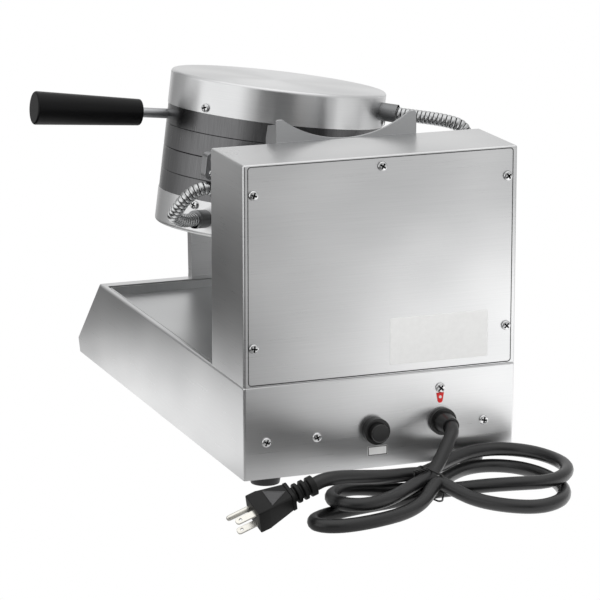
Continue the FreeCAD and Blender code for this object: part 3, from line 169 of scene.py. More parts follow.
def brushed(name, dark, light, size, rough, where=MACHINE, turned=0.0):
    """A metal with grain of this size; turned is how strongly the grain runs round the upright axis."""
    made, tree = start_material(name)
    fine = add(tree, "ShaderNodeTexNoise", {
        "Vector": place(tree, size, where), "Scale": 1.0, "Detail": 3.0}).outputs["Fac"]
    slow = add(tree, "ShaderNodeTexNoise", {
        "Vector": place(tree, CLOUD), "Scale": 1.0, "Detail": 1.0}).outputs["Fac"]
    both = add(tree, "ShaderNodeMix", {"Factor": GRAIN_SHARE, "A": slow, "B": fine})
    colour = add(tree, "ShaderNodeMix", {
        "Factor": both.outputs["Result"], "A": lin(dark), "B": lin(light)}, data_type="RGBA")
    gloss = add(tree, "ShaderNodeMapRange", {
        "Value": fine, "To Min": rough - GRAIN_ROUGH, "To Max": rough + GRAIN_ROUGH})
    corner = add(tree, "ShaderNodeBevel", {"Radius": EDGE_RADIUS}, samples=4)
    bump = add(tree, "ShaderNodeBump", {
        "Height": fine, "Strength": GRAIN_BUMP, "Distance": GRAIN_DEPTH, "Normal": corner.outputs[0]})
    surface = {
        "Base Color": colour.outputs["Result"],
        "Metallic": 1.0,
        "Roughness": gloss.outputs[0],
        "Normal": bump.outputs[0],
    }
    if turned:
        # Grain that runs round an upright axis blurs what it mirrors up and down, hardly sideways
        way = add(tree, "ShaderNodeTangent", direction_type="RADIAL", axis="Z")
        surface.update({"Tangent": way.outputs[0], "Anisotropic": turned, "Anisotropic Rotation": 0.25})
    shader = add(tree, "ShaderNodeBsdfPrincipled", surface)
    add(tree, "ShaderNodeOutputMaterial", {"Surface": shader.outputs[0]})
    return made


# Satin stainless sheet of the base, tower and post: level grain, soft wide reflections
SHEET = brushed("stainless_sheet", "#b4b5b6", "#eeeeee", (50, 50, 0.5), 0.30)
# Stainless of the two round shells, brushed round: bright streaks down the rim, a fan of light on top
SHELL = brushed("stainless_shell", "#c2c3c4", "#f4f4f4", (40, 40, 0.6), 0.32, HEAD, turned=0.8)
# Plain bright steel of screws, pins and rods: small sharp glints
STEEL = brushed("bright_steel", "#b9babb", "#efefef", (2, 2, 2), 0.22)
# Satin die-cast fittings: an even mid grey with hardly a reflection
FITTING = brushed("cast_fitting", "#747576", "#969798", (3, 3, 3), 0.42)
# Galvanised strip of the flexible conduits: a bright line on each rib
CONDUIT = brushed("conduit_steel", "#a2a3a4", "#dcdddd", (2, 2, 2), 0.26)
# Steel inside screw recesses and conduit grooves, coloured nearly black: painted shade
RECESS_SHADE = brushed("painted_shade_steel", "#1b1b1c", "#2a2a2b", (2, 2, 2), 0.5)
# Duller sheet of the bracket and the box behind the head, a tone darker than the tower: the darker tone is
# painted shade
PAINTED_SHADE_SHEET = brushed("dull_sheet_painted_shade", "#96979a", "#cacbcb", (50, 50, 0.5), 0.36)
# Sheet of the tray, its light tone a little darker than the tower's: grain from front to rear
TRAY = brushed("tray_sheet", "#b6b7b8", "#e2e3e3", (0.6, 60, 60), 0.34)
# Sintered bronze of the bearings: warm and matt
BRONZE = brushed("bearing_bronze", "#8a6a3c", "#b08a52", (2, 2, 2), 0.40)
# Nickel-plated brass of the plug's blades: bright, with a faint yellow
BLADE = brushed("plated_blade", "#c0bdb4", "#efede6", (2, 2, 2), 0.25)
print("brushed metals ready")


# %% [markdown]
# ## Plastics, rubber and enamel
# The black parts are moulded, and they differ mostly in how sharply they reflect: a knob is glossy,
# the cord nearly matt. They could share one black. Each has its own here, because side by side
# the eye tells rubber from plastic by the width of its highlight.

# %% Plastics, rubber and enamel
MOULD_ROUGH = 0.05
MOULD_DEPTH = 0.2 * MM


def dress(tree, pattern, dark, light, rough, bump, depth, fixed):
    """The surface: one pattern varies its colour, its roughness and its height."""
    colour = add(tree, "ShaderNodeMix", {
        "Factor": pattern, "A": lin(dark), "B": lin(light)}, data_type="RGBA")
    gloss = add(tree, "ShaderNodeMapRange", {"Value": pattern, "To Min": rough[0], "To Max": rough[1]})
    lift = add(tree, "ShaderNodeBump", {"Height": pattern, "Strength": bump, "Distance": depth})
    shader = add(tree, "ShaderNodeBsdfPrincipled", {
        "Base Color": colour.outputs["Result"],
        "Roughness": gloss.outputs[0],
        "Normal": lift.outputs[0],
        **fixed,
    })
    add(tree, "ShaderNodeOutputMaterial", {"Surface": shader.outputs[0]})


def dull(name, dark, light, size, rough, bump, coat=0.0, shine=0.5):
    """A moulded or painted finish with a fine even mottle."""
    made, tree = start_material(name)
    mottle = add(tree, "ShaderNodeTexNoise", {
        "Vector": place(tree, size), "Scale": 1.0, "Detail": 3.0}).outputs["Fac"]
    dress(tree, mottle, dark, light, (rough - MOULD_ROUGH, rough + MOULD_ROUGH), bump, MOULD_DEPTH,
          {"Coat Weight": coat, "Specular IOR Level": shine})
    return made


# Moulded plastic of the reset, rocker, knob and gland: smooth, with a clear highlight
PLASTIC = dull("black_plastic", "#121212", "#1e1e1e", (1, 1, 1), 0.30, 0.05)
# Rubber of the cord's jacket and the feet: a softer highlight and a slight skin
RUBBER = dull("cord_rubber", "#0d0d0d", "#1a1a1b", (1.2, 1.2, 1.2), 0.36, 0.15)
# Vinyl of the moulded plug: darker than the cord and duller
VINYL = dull("plug_vinyl", "#090909", "#121212", (1.2, 1.2, 1.2), 0.44, 0.10, shine=0.25)
# White enamelled plates, left bare: matt, so that they stay white against the metal
WHITE = dull("white_plate", "#dededd", "#e9e9e8", (4, 4, 4), 0.75, 0.02)
# Dark printed lines of a plate or a dial
BORDER = dull("plate_border", "#1f1f20", "#2c2c2d", (4, 4, 4), 0.45, 0.02)
# Matt rubber of the mark on the plug: paler than the vinyl round it
MARK = dull("matt_rubber", "#3c3c3d", "#4c4c4d", (1.2, 1.2, 1.2), 0.7, 0.1)
# A thin dark outline in the gap round the panel: painted shade of the shadow gap
PAINTED_GAP_SHADE = dull("painted_gap_shade", "#1c1c1d", "#2a2a2b", (3, 3, 3), 0.6, 0.02)
# Painted tag of the earth screw: the one strong colour on the rear
RED = dull("red_tag", "#c01414", "#d81f1c", (3, 3, 3), 0.40, 0.02)
# Acrylic lens of the pilot lamp: amber and glossy
AMBER = dull("lamp_amber", "#d9780a", "#f0930f", (3, 3, 3), 0.12, 0.02, coat=0.5)
# Mineral wool between the castings and the shells: pale and fuzzy
WOOL = dull("mineral_wool", "#c9c1ac", "#e6dfcc", (1, 1, 1), 0.9, 0.5)
print("plastics ready")


# %% [markdown]
# ## Cast plates and handle
# The dark baking plates were turned on a lathe and the handle was polished along its length.
# Both have fine lines that follow a round shape. A noise in plain coordinates would cut across them,
# so it runs in the angle round the axis, counted in line widths.

# %% Cast plates and handle
PLATE_RADIUS = 98 * MM
TOOL_LINE = 0.9 * MM
TOOL_LINE_LENGTH = 30 * MM
GRIP_RADIUS = 14 * MM
GRIP_HEIGHT = 28 * MM
POLISH_LINE = 0.7 * MM
POLISH_LINE_LENGTH = 40 * MM
LINE_DEPTH = 0.3 * MM


def turned_casting(name):
    """Dark cast plate: a dim metal with fine upright lines on its rim."""
    made, tree = start_material(name)
    local = add(tree, "ShaderNodeSeparateXYZ", {"Vector": place(tree, METRE, HEAD)})
    angle = add(tree, "ShaderNodeMath", {0: local.outputs[1], 1: local.outputs[0]}, operation="ARCTAN2")
    lines = add(tree, "ShaderNodeMath", {
        0: angle.outputs[0], 1: PLATE_RADIUS / TOOL_LINE}, operation="MULTIPLY")
    height = add(tree, "ShaderNodeMath", {
        0: local.outputs[2], 1: 1 / TOOL_LINE_LENGTH}, operation="MULTIPLY")
    where = add(tree, "ShaderNodeCombineXYZ", {0: lines.outputs[0], 2: height.outputs[0]})
    fine = add(tree, "ShaderNodeTexNoise", {"Vector": where.outputs[0], "Scale": 1.0, "Detail": 2.0})
    dress(tree, fine.outputs["Fac"], "#525253", "#787879", (0.20, 0.30), 0.15, LINE_DEPTH, {"Metallic": 1.0})
    return made


def handle_black(name):
    """Moulded phenolic: deep black with a soft streak along the grip."""
    made, tree = start_material(name)
    local = add(tree, "ShaderNodeSeparateXYZ", {"Vector": place(tree, METRE, HEAD)})
    high = add(tree, "ShaderNodeMath", {0: local.outputs[2], 1: GRIP_HEIGHT}, operation="SUBTRACT")
    angle = add(tree, "ShaderNodeMath", {0: high.outputs[0], 1: local.outputs[1]}, operation="ARCTAN2")
    lines = add(tree, "ShaderNodeMath", {
        0: angle.outputs[0], 1: GRIP_RADIUS / POLISH_LINE}, operation="MULTIPLY")
    run = add(tree, "ShaderNodeMath", {
        0: local.outputs[0], 1: 1 / POLISH_LINE_LENGTH}, operation="MULTIPLY")
    where = add(tree, "ShaderNodeCombineXYZ", {0: lines.outputs[0], 1: run.outputs[0]})
    fine = add(tree, "ShaderNodeTexNoise", {"Vector": where.outputs[0], "Scale": 1.0, "Detail": 2.0})
    dress(tree, fine.outputs["Fac"], "#050505", "#0f0f10", (0.26, 0.40), 0.12, LINE_DEPTH,
          {"Specular IOR Level": 0.14})
    return made


CASTING = turned_casting("cast_plate")
PHENOLIC = handle_black("black_phenolic")
print("cast plate and handle ready")

# %% [markdown]
# ## Finish of the construction nodes
# Every construction node is one real piece, so each gets the finish of what that piece is made of.
# A list by finish shows which pieces share a material, and the count shows if one is missed.

# %% Finish of the construction nodes
FINISHES = [
    (SHEET, "stainless_sheet", "base_shell bottom_plate tower_shell rear_panel tray_rails rear_chassis "
     "front_post"),
    (PAINTED_SHADE_SHEET, "stainless_sheet", "bearing_bracket yoke junction_box junction_cover handle_rod"),
    (TRAY, "stainless_sheet", "drip_tray"),
    (SHELL, "stainless_sheet", "lower_shell upper_shell"),
    (CASTING, "cast_plate", "lower_housing upper_housing lower_grid upper_grid lower_hinge_lug "
     "upper_hinge_lugs"),
    (STEEL, "bright_steel", "base_bolts rear_screws lower_fasteners upper_fasteners yoke_fasteners hinge_pin "
     "flip_shaft shaft_collar front_trunnion lower_heater upper_heater"),
    (STEEL, "conduit_steel", "lower_conduit upper_conduit"),
    (FITTING, "fitting_grey", "lower_socket upper_socket box_elbows base_electrics thermostat_body"),
    (BRONZE, "bearing_bronze", "rear_bush front_bush"),
    (PHENOLIC, "black_phenolic", "handle_grip"),
    (PLASTIC, "black_plastic", "reset_bezel reset_button cord_gland rocker_frame power_rocker "
     "thermostat_knob cord_tie"),
    (RUBBER, "black_rubber", "feet cord_lead cord_hank cord_tail plug_body"),
    (BLADE, "plug_brass", "plug_blades"),
    (WHITE, "white_plate", "blank_plates"),
    (AMBER, "lamp_amber", "pilot_lamp"),
    (WOOL, "mineral_wool", "lower_insulation upper_insulation"),
]
finished = set()
for look, slot_name, names in FINISHES:
    for name in names.split():
        nodes[name].data.materials.clear()
        nodes[name].data.materials.append(look)
        finished.add(name)
print("finished", len(finished), "of", len(nodes), "left:", sorted(set(nodes) - finished))


# %% [markdown]
# ## Helpers for pieces
# Each drawn piece is points and faces in the machine's own frame, and it rides on the body it belongs to.
# Primitives and modifiers could make them too. Points worked out in code keep exact sizes, and most
# shapes here are rings of points with a skin between them.

# %% Helpers for pieces
def piece(name, parts, looks, body, angle=35.0):
    """One object from lists of points and faces, each list with its own material."""
    points, faces, which = [], [], []
    for index, (some, made) in enumerate(parts):
        start = len(points)
        points += [tuple(p) for p in some]
        faces += [[start + i for i in face] for face in made]
        which += [index % len(looks)] * len(made)
    mesh = bpy.data.meshes.new(name)
    mesh.from_pydata(points, [], faces)
    for look in looks:
        mesh.materials.append(look)
    mesh.polygons.foreach_set("material_index", which)
    mesh.shade_smooth()
    mesh.set_sharp_from_angle(angle=math.radians(angle))
    mesh.update()
    made = bpy.data.objects.new(name, mesh)
    bpy.context.scene.collection.objects.link(made)
    if body:
        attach(made, body)
    print(name, len(points), "points")
    return made


def skin(rings):
    """Faces between rings of equal count, with a flat cap on each end."""
    count = len(rings[0])
    points = [p for ring in rings for p in ring]
    faces = []
    for i in range(len(rings) - 1):
        for j in range(count):
            k = (j + 1) % count
            faces.append([i * count + j, i * count + k, (i + 1) * count + k, (i + 1) * count + j])
    faces.append(list(range(count))[::-1])
    faces.append([(len(rings) - 1) * count + j for j in range(count)])
    return points, faces


def chosen(points, faces):
    """These faces, with only the points that they use."""
    used = sorted({i for face in faces for i in face})
    place_of = {old: new for new, old in enumerate(used)}
    return [points[i] for i in used], [[place_of[i] for i in face] for face in faces]


print("a skin over two square rings has", len(skin([[0] * 4] * 2)[1]), "faces")


# %% [markdown]
# ## Rings and outlines
# Most parts here are round or have rounded corners. Circles and rounded rectangles worked out from a
# radius need no list of points, and a frame on a surface lets the same screw sit on any face.

# %% Rings and outlines
def frame_on(seat, out):
    """A frame at seat with its z axis along out and its x axis level."""
    z = Vector(out).normalized()
    x = Vector((0, 0, 1)).cross(z).normalized()
    axes = Matrix((x, z.cross(x), z)).transposed()
    return Matrix.Translation(seat) @ axes.to_4x4()


def full_turn(count):
    """Angles evenly round a circle."""
    return [2 * math.pi * j / count for j in range(count)]


def ring_at(where, radius, height, count):
    """A round ring of points at a height above a frame."""
    return [where @ Vector((radius * math.cos(a), radius * math.sin(a), height)) for a in full_turn(count)]


def round_outline(wide, high, corner, steps=6):
    """A rectangle with round corners, centred, as x and y."""
    made = []
    for sx, sy, start in ((1, 1, 0), (-1, 1, 90), (-1, -1, 180), (1, -1, 270)):
        for i in range(steps + 1):
            a = math.radians(start + 90 * i / steps)
            made.append((sx * (wide / 2 - corner) + corner * math.cos(a),
                         sy * (high / 2 - corner) + corner * math.sin(a)))
    return made


print("a rounded rectangle has", len(round_outline(1.0, 1.0, 0.1)), "points")


# %% [markdown]
# ## Pan screws
# Pan screws hold the sheet: a low dome with a cross recess. A turned profile could have the cross cut
# out of it by a boolean. A polar grid whose middle is pressed down along two bars gives the same
# shape with clean faces, and the pressed faces are coloured dark: painted shade, as a deep slot looks.

# %% Pan screws
SPOKES = 48
# Shares of the head's radius, and then of its height
GRID_STEPS = [0.08, 0.16, 0.24, 0.32, 0.40, 0.48, 0.55, 0.60, 0.66, 0.78, 0.90, 0.97, 1.0]
BAR_HALF = 0.14
BAR_REACH = 0.63
RIM_START = 0.85
BAR_DEPTH = 0.6
BAR_MIDDLE = 0.3
DOME = 0.30
RIM_DROP = 0.55
# How far the skirt goes into the sheet
SKIRT = 0.2 * MM


def pan_screw(seat, out, radius, height, twist):
    """The bright head and its cross recess coloured dark as painted shade, as two lists."""
    where = frame_on(seat, out)
    points, sunk = [where @ Vector((0, 0, height * BAR_MIDDLE))], {0}
    for s in GRID_STEPS:
        for a in full_turn(SPOKES):
            x, y = s * math.cos(a + twist), s * math.sin(a + twist)
            rise = height * (1 - DOME * s * s)
            if s > RIM_START:
                rise *= 1 - ((s - RIM_START) / (1 - RIM_START)) ** 2 * RIM_DROP
            if min(abs(x), abs(y)) < BAR_HALF and s < BAR_REACH:
                rise -= height * BAR_DEPTH
                sunk.add(len(points))
            points.append(where @ Vector((radius * s * math.cos(a), radius * s * math.sin(a), rise)))
    points += ring_at(where, radius, -SKIRT, SPOKES)
    faces = [[0, 1 + j, 1 + (j + 1) % SPOKES] for j in range(SPOKES)]
    for i in range(len(GRID_STEPS)):
        for j in range(SPOKES):
            k = (j + 1) % SPOKES
            low, high = 1 + i * SPOKES, 1 + (i + 1) * SPOKES
            faces.append([low + j, high + j, high + k, low + k])
    # Faces round the pressed points take the dark second material: painted shade in the slot
    dark = [face for face in faces if len(sunk.intersection(face)) > 1]
    bright = [face for face in faces if len(sunk.intersection(face)) < 2]
    return [chosen(points, bright), chosen(points, dark)]


def screw_set(name, made, body_name, node):
    """Many screws as one object, bright heads and recesses with painted shade by turns."""
    done = piece(name, sum(made, []), [STEEL, RECESS_SHADE], body_name, 50)
    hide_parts(node)


print("a screw head has", len(GRID_STEPS), "rings of", SPOKES, "points")

# %% [markdown]
# ## Where the screws sit
# Nine screws show on the rear. Each half of the head has three in its rim and four bolts on its casting,
# and the box and the yoke behind it have their own. Real screws stop at any angle, so they are twisted.

# %% Where the screws sit
REAR = 0.238
# Each head's radius and height
REAR_HEAD = (0.0043, 0.0026)
RIM_HEAD = (0.004, 0.0026)
BOLT_HEAD = (0.005, 0.0036)
BOX_HEAD = (0.0028, 0.0018)
# Place across, height and twist
REAR_SCREWS = [
    (0.116, 0.2595, 0.3), (-0.116, 0.2595, 1.0), (0.0, 0.27625, 0.6),
    (0.116, 0.1275, 0.1), (-0.116, 0.1275, 0.8),
    (0.105, 0.0445, 0.4), (0.059, 0.0445, 1.2), (-0.096, 0.0448, 0.2), (-0.055, 0.0775, 0.7),
]
heads = [pan_screw((x, REAR, z), (0, 1, 0), *REAR_HEAD, twist) for x, z, twist in REAR_SCREWS]
screw_set("rear_pan_screws", heads, "base", "rear_screws")

# Radius and height from the middle of the head
RIM_SEAT = (0.099, 0.044)
BOLT_SEAT = (0.078, 0.039)
HEAD_TURN = HEAD.to_3x3()


def round_spot(degrees, radius, height, half):
    """A spot on the head, by the angle from +Y; half is -1 on the lower half and 1 on the upper."""
    a = math.radians(degrees)
    return Vector((-half * radius * math.sin(a), radius * math.cos(a), half * height))


def head_screws(half):
    """Three shell screws and four bolts that hold the casting; the angle serves as the twist too."""
    made = []
    for degrees in (60, -60, 180):
        way = round_spot(degrees, 1.0, 0.0, half)
        seat = round_spot(degrees, *RIM_SEAT, half)
        made.append(pan_screw(HEAD @ seat, HEAD_TURN @ way, *RIM_HEAD, degrees))
    for degrees in (45, 135, 225, 315):
        # A hair off upright, so that the frame's level axis is defined
        way = Vector((0, 0.001, half))
        seat = round_spot(degrees, *BOLT_SEAT, half)
        made.append(pan_screw(HEAD @ seat, HEAD_TURN @ way, *BOLT_HEAD, degrees))
    return made


for half, body_name, node in ((-1, "head", "lower_fasteners"), (1, "lid", "upper_fasteners")):
    screw_set(node + "_heads", head_screws(half), body_name, node)

BOX_FACE = 0.1175
YOKE_FACE = 0.105
YOKE_BOLT_HEIGHT = -0.028
TWIST_RATE = 40
back = HEAD_TURN @ Vector((0, 1, 0))
box_screws = [pan_screw(HEAD @ Vector((x, BOX_FACE, z)), back, *BOX_HEAD, x * TWIST_RATE)
              for x in (-0.098, 0.098) for z in (-0.006, 0.006)]
yoke_bolts = [pan_screw(HEAD @ Vector((x, YOKE_FACE, YOKE_BOLT_HEIGHT)), back, *BOLT_HEAD, x * TWIST_RATE)
              for x in (-0.034, -0.015, 0.015, 0.034)]
screw_set("yoke_fastener_heads", box_screws + yoke_bolts, "head", "yoke_fasteners")


# %% [markdown]
# ## Plates on the rear
# The plates are bare: a white plate on the panel and a bordered strip under the reset button.
# They could be painted on the panel's material. Real plates stand proud by a third of a millimetre
# and catch light on their edges, so each is a thin solid, and the printed frame is one too.

# %% Plates on the rear
PLATE_THICK = 0.3 * MM
# Left, right, low and high, as places across and heights
LARGE_PLATE = (-0.099, -0.008, 0.102, 0.143)
SMALL_PLATE = (-0.006, 0.012, 0.0228, 0.0312)
SMALL_BORDER = (-0.0058, 0.0118, 0.0230, 0.0310)
PANEL_GAP = (-0.1211, 0.1211, 0.0946, 0.2839)
LINE_WIDTH = 0.7 * MM


def plate(left, right, low, high, corner):
    """A thin plate on the rear, with its outer edge eased."""
    middle = Vector(((left + right) / 2, REAR, (low + high) / 2))
    rings = []
    for inset, y in ((0.0, 0.0), (0.0, PLATE_THICK * 0.6), (PLATE_THICK * 0.5, PLATE_THICK)):
        outline = round_outline(right - left - 2 * inset, high - low - 2 * inset, corner)
        rings.append([middle + Vector((-x, y, z)) for x, z in outline])
    return skin(rings)


def border(left, right, low, high, corner, lift):
    """A thin closed frame that stands a hair above what it lies on."""
    outer = round_outline(right - left, high - low, corner)
    inner = round_outline(right - left - 2 * LINE_WIDTH, high - low - 2 * LINE_WIDTH,
                          max(corner - LINE_WIDTH, 0.1 * MM))
    middle = Vector(((left + right) / 2, REAR, (low + high) / 2))
    loops = ((outer, 0.0), (outer, lift), (inner, lift), (inner, 0.0))
    points = [middle + Vector((-x, y, z)) for loop, y in loops for x, z in loop]
    count = len(outer)
    faces = []
    for i in range(len(loops)):
        for j in range(count):
            k, m = (j + 1) % count, (i + 1) % len(loops)
            faces.append([i * count + j, i * count + k, m * count + k, m * count + j])
    return points, faces


large = plate(*LARGE_PLATE, 1.5 * MM)
small = plate(*SMALL_PLATE, 0.8 * MM)
plates = piece("bare_plates", [large, small], [WHITE], "base", 10)
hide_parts("blank_plates")
printed = border(*SMALL_BORDER, 0.6 * MM, PLATE_THICK + 0.02 * MM)
piece("plate_border", [printed], [BORDER], "base")
# A dark outline fills the gap round the rear panel: painted shade of the shadow gap
gap_shade_outline = border(*PANEL_GAP, 3.1 * MM, 0.1 * MM)
piece("panel_gap_shade", [gap_shade_outline], [PAINTED_GAP_SHADE], "base")

# %% [markdown]
# ## Earth tag
# A small red tag hangs under the earth screw. A flat outline, thickened, is all it needs,
# and a pale dot keeps it from being a plain red patch.

# %% Earth tag
TAG_X = -0.055
TAG_TOP = 0.0730
TAG_LOW = 0.0640
TAG_THICK = 0.4 * MM
DOT_HEIGHT = 0.0692
# Half width and height, from the top down one side
TAG_SIDE = [(0.0035, TAG_TOP), (0.0022, TAG_LOW + 0.0012), (0.0010, TAG_LOW)]
# Radius and height above the panel
DOT_STEPS = ((0.0013, 0.0003), (0.0013, 0.00055), (0.0010, 0.00062))
outline = TAG_SIDE + [(-x, z) for x, z in reversed(TAG_SIDE)]
tag = skin([[Vector((TAG_X + x, REAR + y, z)) for x, z in outline] for y in (0, TAG_THICK)])
dot = skin([ring_at(frame_on((TAG_X, REAR, DOT_HEIGHT), (0, 1, 0)), r, h, 20) for r, h in DOT_STEPS])
piece("earth_tag", [tag, dot], [RED, WHITE], "base")

# %% [markdown]
# ## Dial on the front
# A white line on the knob's bar shows where it points, and ten dark lines on the slope mark its travel.
# They could be a pattern in the material. Thin solids stay sharp, and the pointer turns with the knob.

# %% Dial on the front
KNOB_SEAT = (0, -0.202, 0.0595)
SLOPE = Matrix.Translation(KNOB_SEAT) @ Matrix.Rotation(math.radians(43.781), 4, "X")
TICK_COUNT = 10
TICK_TURN = 30
TICK_FIRST = 90
# Start and end from the knob's middle, half width, and lowest and highest level above the slope
TICK = (0.0195, 0.0225, 0.0005, 0.0, 0.0001)
POINTER = (0.003, 0.0125, 0.0007, 0.0169, 0.0171)


def stroke(degrees, start, end, half, low, high):
    """A thin printed line that points away from the middle of the knob."""
    a = math.radians(degrees)
    out = Vector((math.cos(a), math.sin(a), 0))
    side = Vector((-math.sin(a), math.cos(a), 0)) * half
    corners = [out * start - side, out * end - side, out * end + side, out * start + side]
    return skin([[SLOPE @ (c + Vector((0, 0, level))) for c in corners] for level in (low, high)])


ticks = [stroke(TICK_FIRST - TICK_TURN * i, *TICK) for i in range(TICK_COUNT)]
piece("dial_marks", ticks, [BORDER], "base")
pointer = stroke(TICK_FIRST, *POINTER)
piece("knob_pointer", [pointer], [WHITE], "knob")

# %% [markdown]
# ## Mains cord
# One strand leaves the gland, folds to and fro through the tie and ends at the plug.
# It could be a mesh tube. A NURBS curve is smoother and knows its own length: its points are given
# one by one, on the counter or on the strand below, and the spline cuts their corners round.

# %% Mains cord
CORD_EXIT = (-0.057, 0.258, 0.0475)
CORD_POINTS = [
    # out of the gland and down to the tie
    CORD_EXIT, (-0.0555, 0.2645, 0.0463), (-0.0515, 0.2705, 0.0430),
    (-0.0460, 0.2765, 0.0380), (-0.0395, 0.2825, 0.0320), (-0.0325, 0.2890, 0.0263),
    (-0.0255, 0.2960, 0.0220), (-0.0190, 0.3030, 0.0190),
    # short left loop, on top
    (-0.0066, 0.3112, 0.0186), (0.0104, 0.3258, 0.0184), (0.0290, 0.3418, 0.0183),
    (0.0469, 0.3529, 0.0182), (0.0637, 0.3556, 0.0182), (0.0768, 0.3485, 0.0182),
    (0.0819, 0.3343, 0.0182), (0.0771, 0.3187, 0.0182), (0.0635, 0.3071, 0.0176),
    (0.0454, 0.3010, 0.0155), (0.0215, 0.2976, 0.0105), (-0.0012, 0.2977, 0.0082),
    # right loop on the counter
    (-0.0175, 0.2970, 0.0078), (-0.0349, 0.2841, 0.0066), (-0.0544, 0.2632, 0.0061),
    (-0.0755, 0.2487, 0.0061), (-0.0981, 0.2482, 0.0061), (-0.1180, 0.2618, 0.0061),
    (-0.1289, 0.2849, 0.0061), (-0.1320, 0.3140, 0.0061), (-0.1262, 0.3443, 0.0061),
    (-0.1104, 0.3678, 0.0061), (-0.0869, 0.3768, 0.0061), (-0.0631, 0.3641, 0.0061),
    (-0.0435, 0.3433, 0.0074), (-0.0309, 0.3258, 0.0128), (-0.0220, 0.3149, 0.0186),
    # long left loop on the counter
    (-0.0110, 0.3246, 0.0154), (0.0019, 0.3391, 0.0095), (0.0225, 0.3515, 0.0061),
    (0.0487, 0.3621, 0.0061), (0.0742, 0.3675, 0.0061), (0.0931, 0.3660, 0.0061),
    (0.1045, 0.3575, 0.0061), (0.1035, 0.3449, 0.0061), (0.0905, 0.3349, 0.0061),
    (0.0677, 0.3272, 0.0061), (0.0443, 0.3219, 0.0061), (0.0205, 0.3180, 0.0061),
    (-0.0021, 0.3139, 0.0069),
    # right loop that rests on the first one
    (-0.0205, 0.3090, 0.0078), (-0.0377, 0.3159, 0.0100), (-0.0578, 0.3304, 0.0150),
    (-0.0808, 0.3443, 0.0183), (-0.1068, 0.3491, 0.0183), (-0.1286, 0.3375, 0.0183),
    (-0.1422, 0.3135, 0.0183), (-0.1412, 0.2849, 0.0185), (-0.1282, 0.2614, 0.0195),
    (-0.1065, 0.2487, 0.0205), (-0.0805, 0.2480, 0.0205), (-0.0552, 0.2620, 0.0198),
    (-0.0337, 0.2792, 0.0190),
    # tail to the plug
    (-0.0160, 0.2911, 0.0188), (-0.0040, 0.2935, 0.0203), (0.0090, 0.2990, 0.0221),
    (0.0290, 0.3110, 0.0264), (0.0488, 0.3213, 0.0313), (0.0665, 0.3290, 0.0353),
    (0.0800, 0.3345, 0.0376), (0.0915, 0.3376, 0.0379), (0.1002, 0.3385, 0.0348),
    (0.1040, 0.3388, 0.0335),
]
CORD_RADIUS = 6 * MM
route = bpy.data.curves.new("mains_cord", "CURVE")
route.dimensions = "3D"
route.bevel_depth = CORD_RADIUS
route.bevel_resolution = 5
route.use_fill_caps = True
strand = route.splines.new("NURBS")
strand.points.add(len(CORD_POINTS) - 1)
for target, spot in zip(strand.points, CORD_POINTS):
    target.co = (*spot, 1.0)
strand.order_u = 3
strand.use_endpoint_u = True
strand.resolution_u = 10
route.materials.append(RUBBER)
cord = bpy.data.objects.new("mains_cord", route)
bpy.context.scene.collection.objects.link(cord)
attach(cord, "base")
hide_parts("cord_lead", "cord_hank", "cord_tail")
print("cord length", round(strand.calc_length(), 3))


# %% [markdown]
# ## Tube along a path
# The tie and the conduits are tubes whose thickness may change along the way.
# A curve with a bevel can't be ribbed, so rings of points are set along the path, and each ring keeps
# the side of the one before it, which stops the tube from twisting.

# %% Tube along a path
def tube(path, radius, count):
    """A skin round a path; radius is a number or a function of the distance along it."""
    rings, run = [], 0.0
    side = None
    for i, spot in enumerate(path):
        ahead = path[min(i + 1, len(path) - 1)] - path[max(i - 1, 0)]
        ahead.normalize()
        if side is None:
            side = ahead.orthogonal().normalized()
        side = (side - ahead * side.dot(ahead)).normalized()
        other = ahead.cross(side)
        if i:
            run += (spot - path[i - 1]).length
        r = radius(run) if callable(radius) else radius
        rings.append([spot + side * r * math.cos(a) + other * r * math.sin(a) for a in full_turn(count)])
    return skin(rings)


print("tubes can be drawn")


# %% [markdown]
# ## Tie round the hank
# A thin plastic-coated wire goes once round the bundle and its ends are twisted together on top.
# A plain ring would do from afar. The two wound ends are what makes it a wire tie up close.

# %% Tie round the hank
TIE = Matrix.Translation((-0.019, 0.303, 0)) @ Matrix.Rotation(math.radians(14), 4, "Z")
TIE_WIDE = 38.6 * MM
TIE_HIGH = 24.2 * MM
TIE_CORNER = 7 * MM
TIE_MIDDLE = 13 * MM
TIE_WAVER = 0.8 * MM
LOOP_WIRE = 0.8 * MM
END_WIRE = 0.7 * MM
# The twist: where it starts, its height, how far each step goes on and turns, and its radius
TWIST_START = 1.5 * MM
TWIST_HEIGHT = 26.2 * MM
TWIST_STEP = 0.6 * MM
TWIST_TURN = 0.55
TWIST_RADIUS = 1.0 * MM
TWIST_LEAN = 0.4
TWIST_STEPS = 28
# The last steps of one end bend away
LOOSE_AFTER = 21
LOOSE_STEP = 0.4 * MM


def tie_wire():
    """The loop round the bundle, a little uneven."""
    loop = round_outline(TIE_WIDE, TIE_HIGH, TIE_CORNER, 8)
    path = [TIE @ Vector((TIE_WAVER * math.sin(i), y, TIE_MIDDLE + z)) for i, (y, z) in enumerate(loop)]
    path.append(path[0].copy())
    return tube(path, LOOP_WIRE, 12)


def tie_end(side):
    """One of the two ends, wound round the other."""
    path = []
    for i in range(TWIST_STEPS):
        a = TWIST_TURN * i + side * math.pi
        out = TWIST_RADIUS + LOOSE_STEP * max(0, i - LOOSE_AFTER) * side
        along = TWIST_START + TWIST_STEP * i + out * math.cos(a) * TWIST_LEAN
        path.append(TIE @ Vector((along, out * math.cos(a), TWIST_HEIGHT + out * math.sin(a))))
    return tube(path, END_WIRE, 10)


tie = piece("wire_tie", [tie_wire(), tie_end(0), tie_end(1)], [PLASTIC], "base", 60)
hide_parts("cord_tie")

# %% [markdown]
# ## Plug
# A moulded three-pin plug: a ribbed relief, a body that widens to the face, and a grip mark on its side.
# A subdivided box could be pulled into shape. Sections along the plug's axis keep the flat sides flat
# and the corners tight, as the mould leaves them.

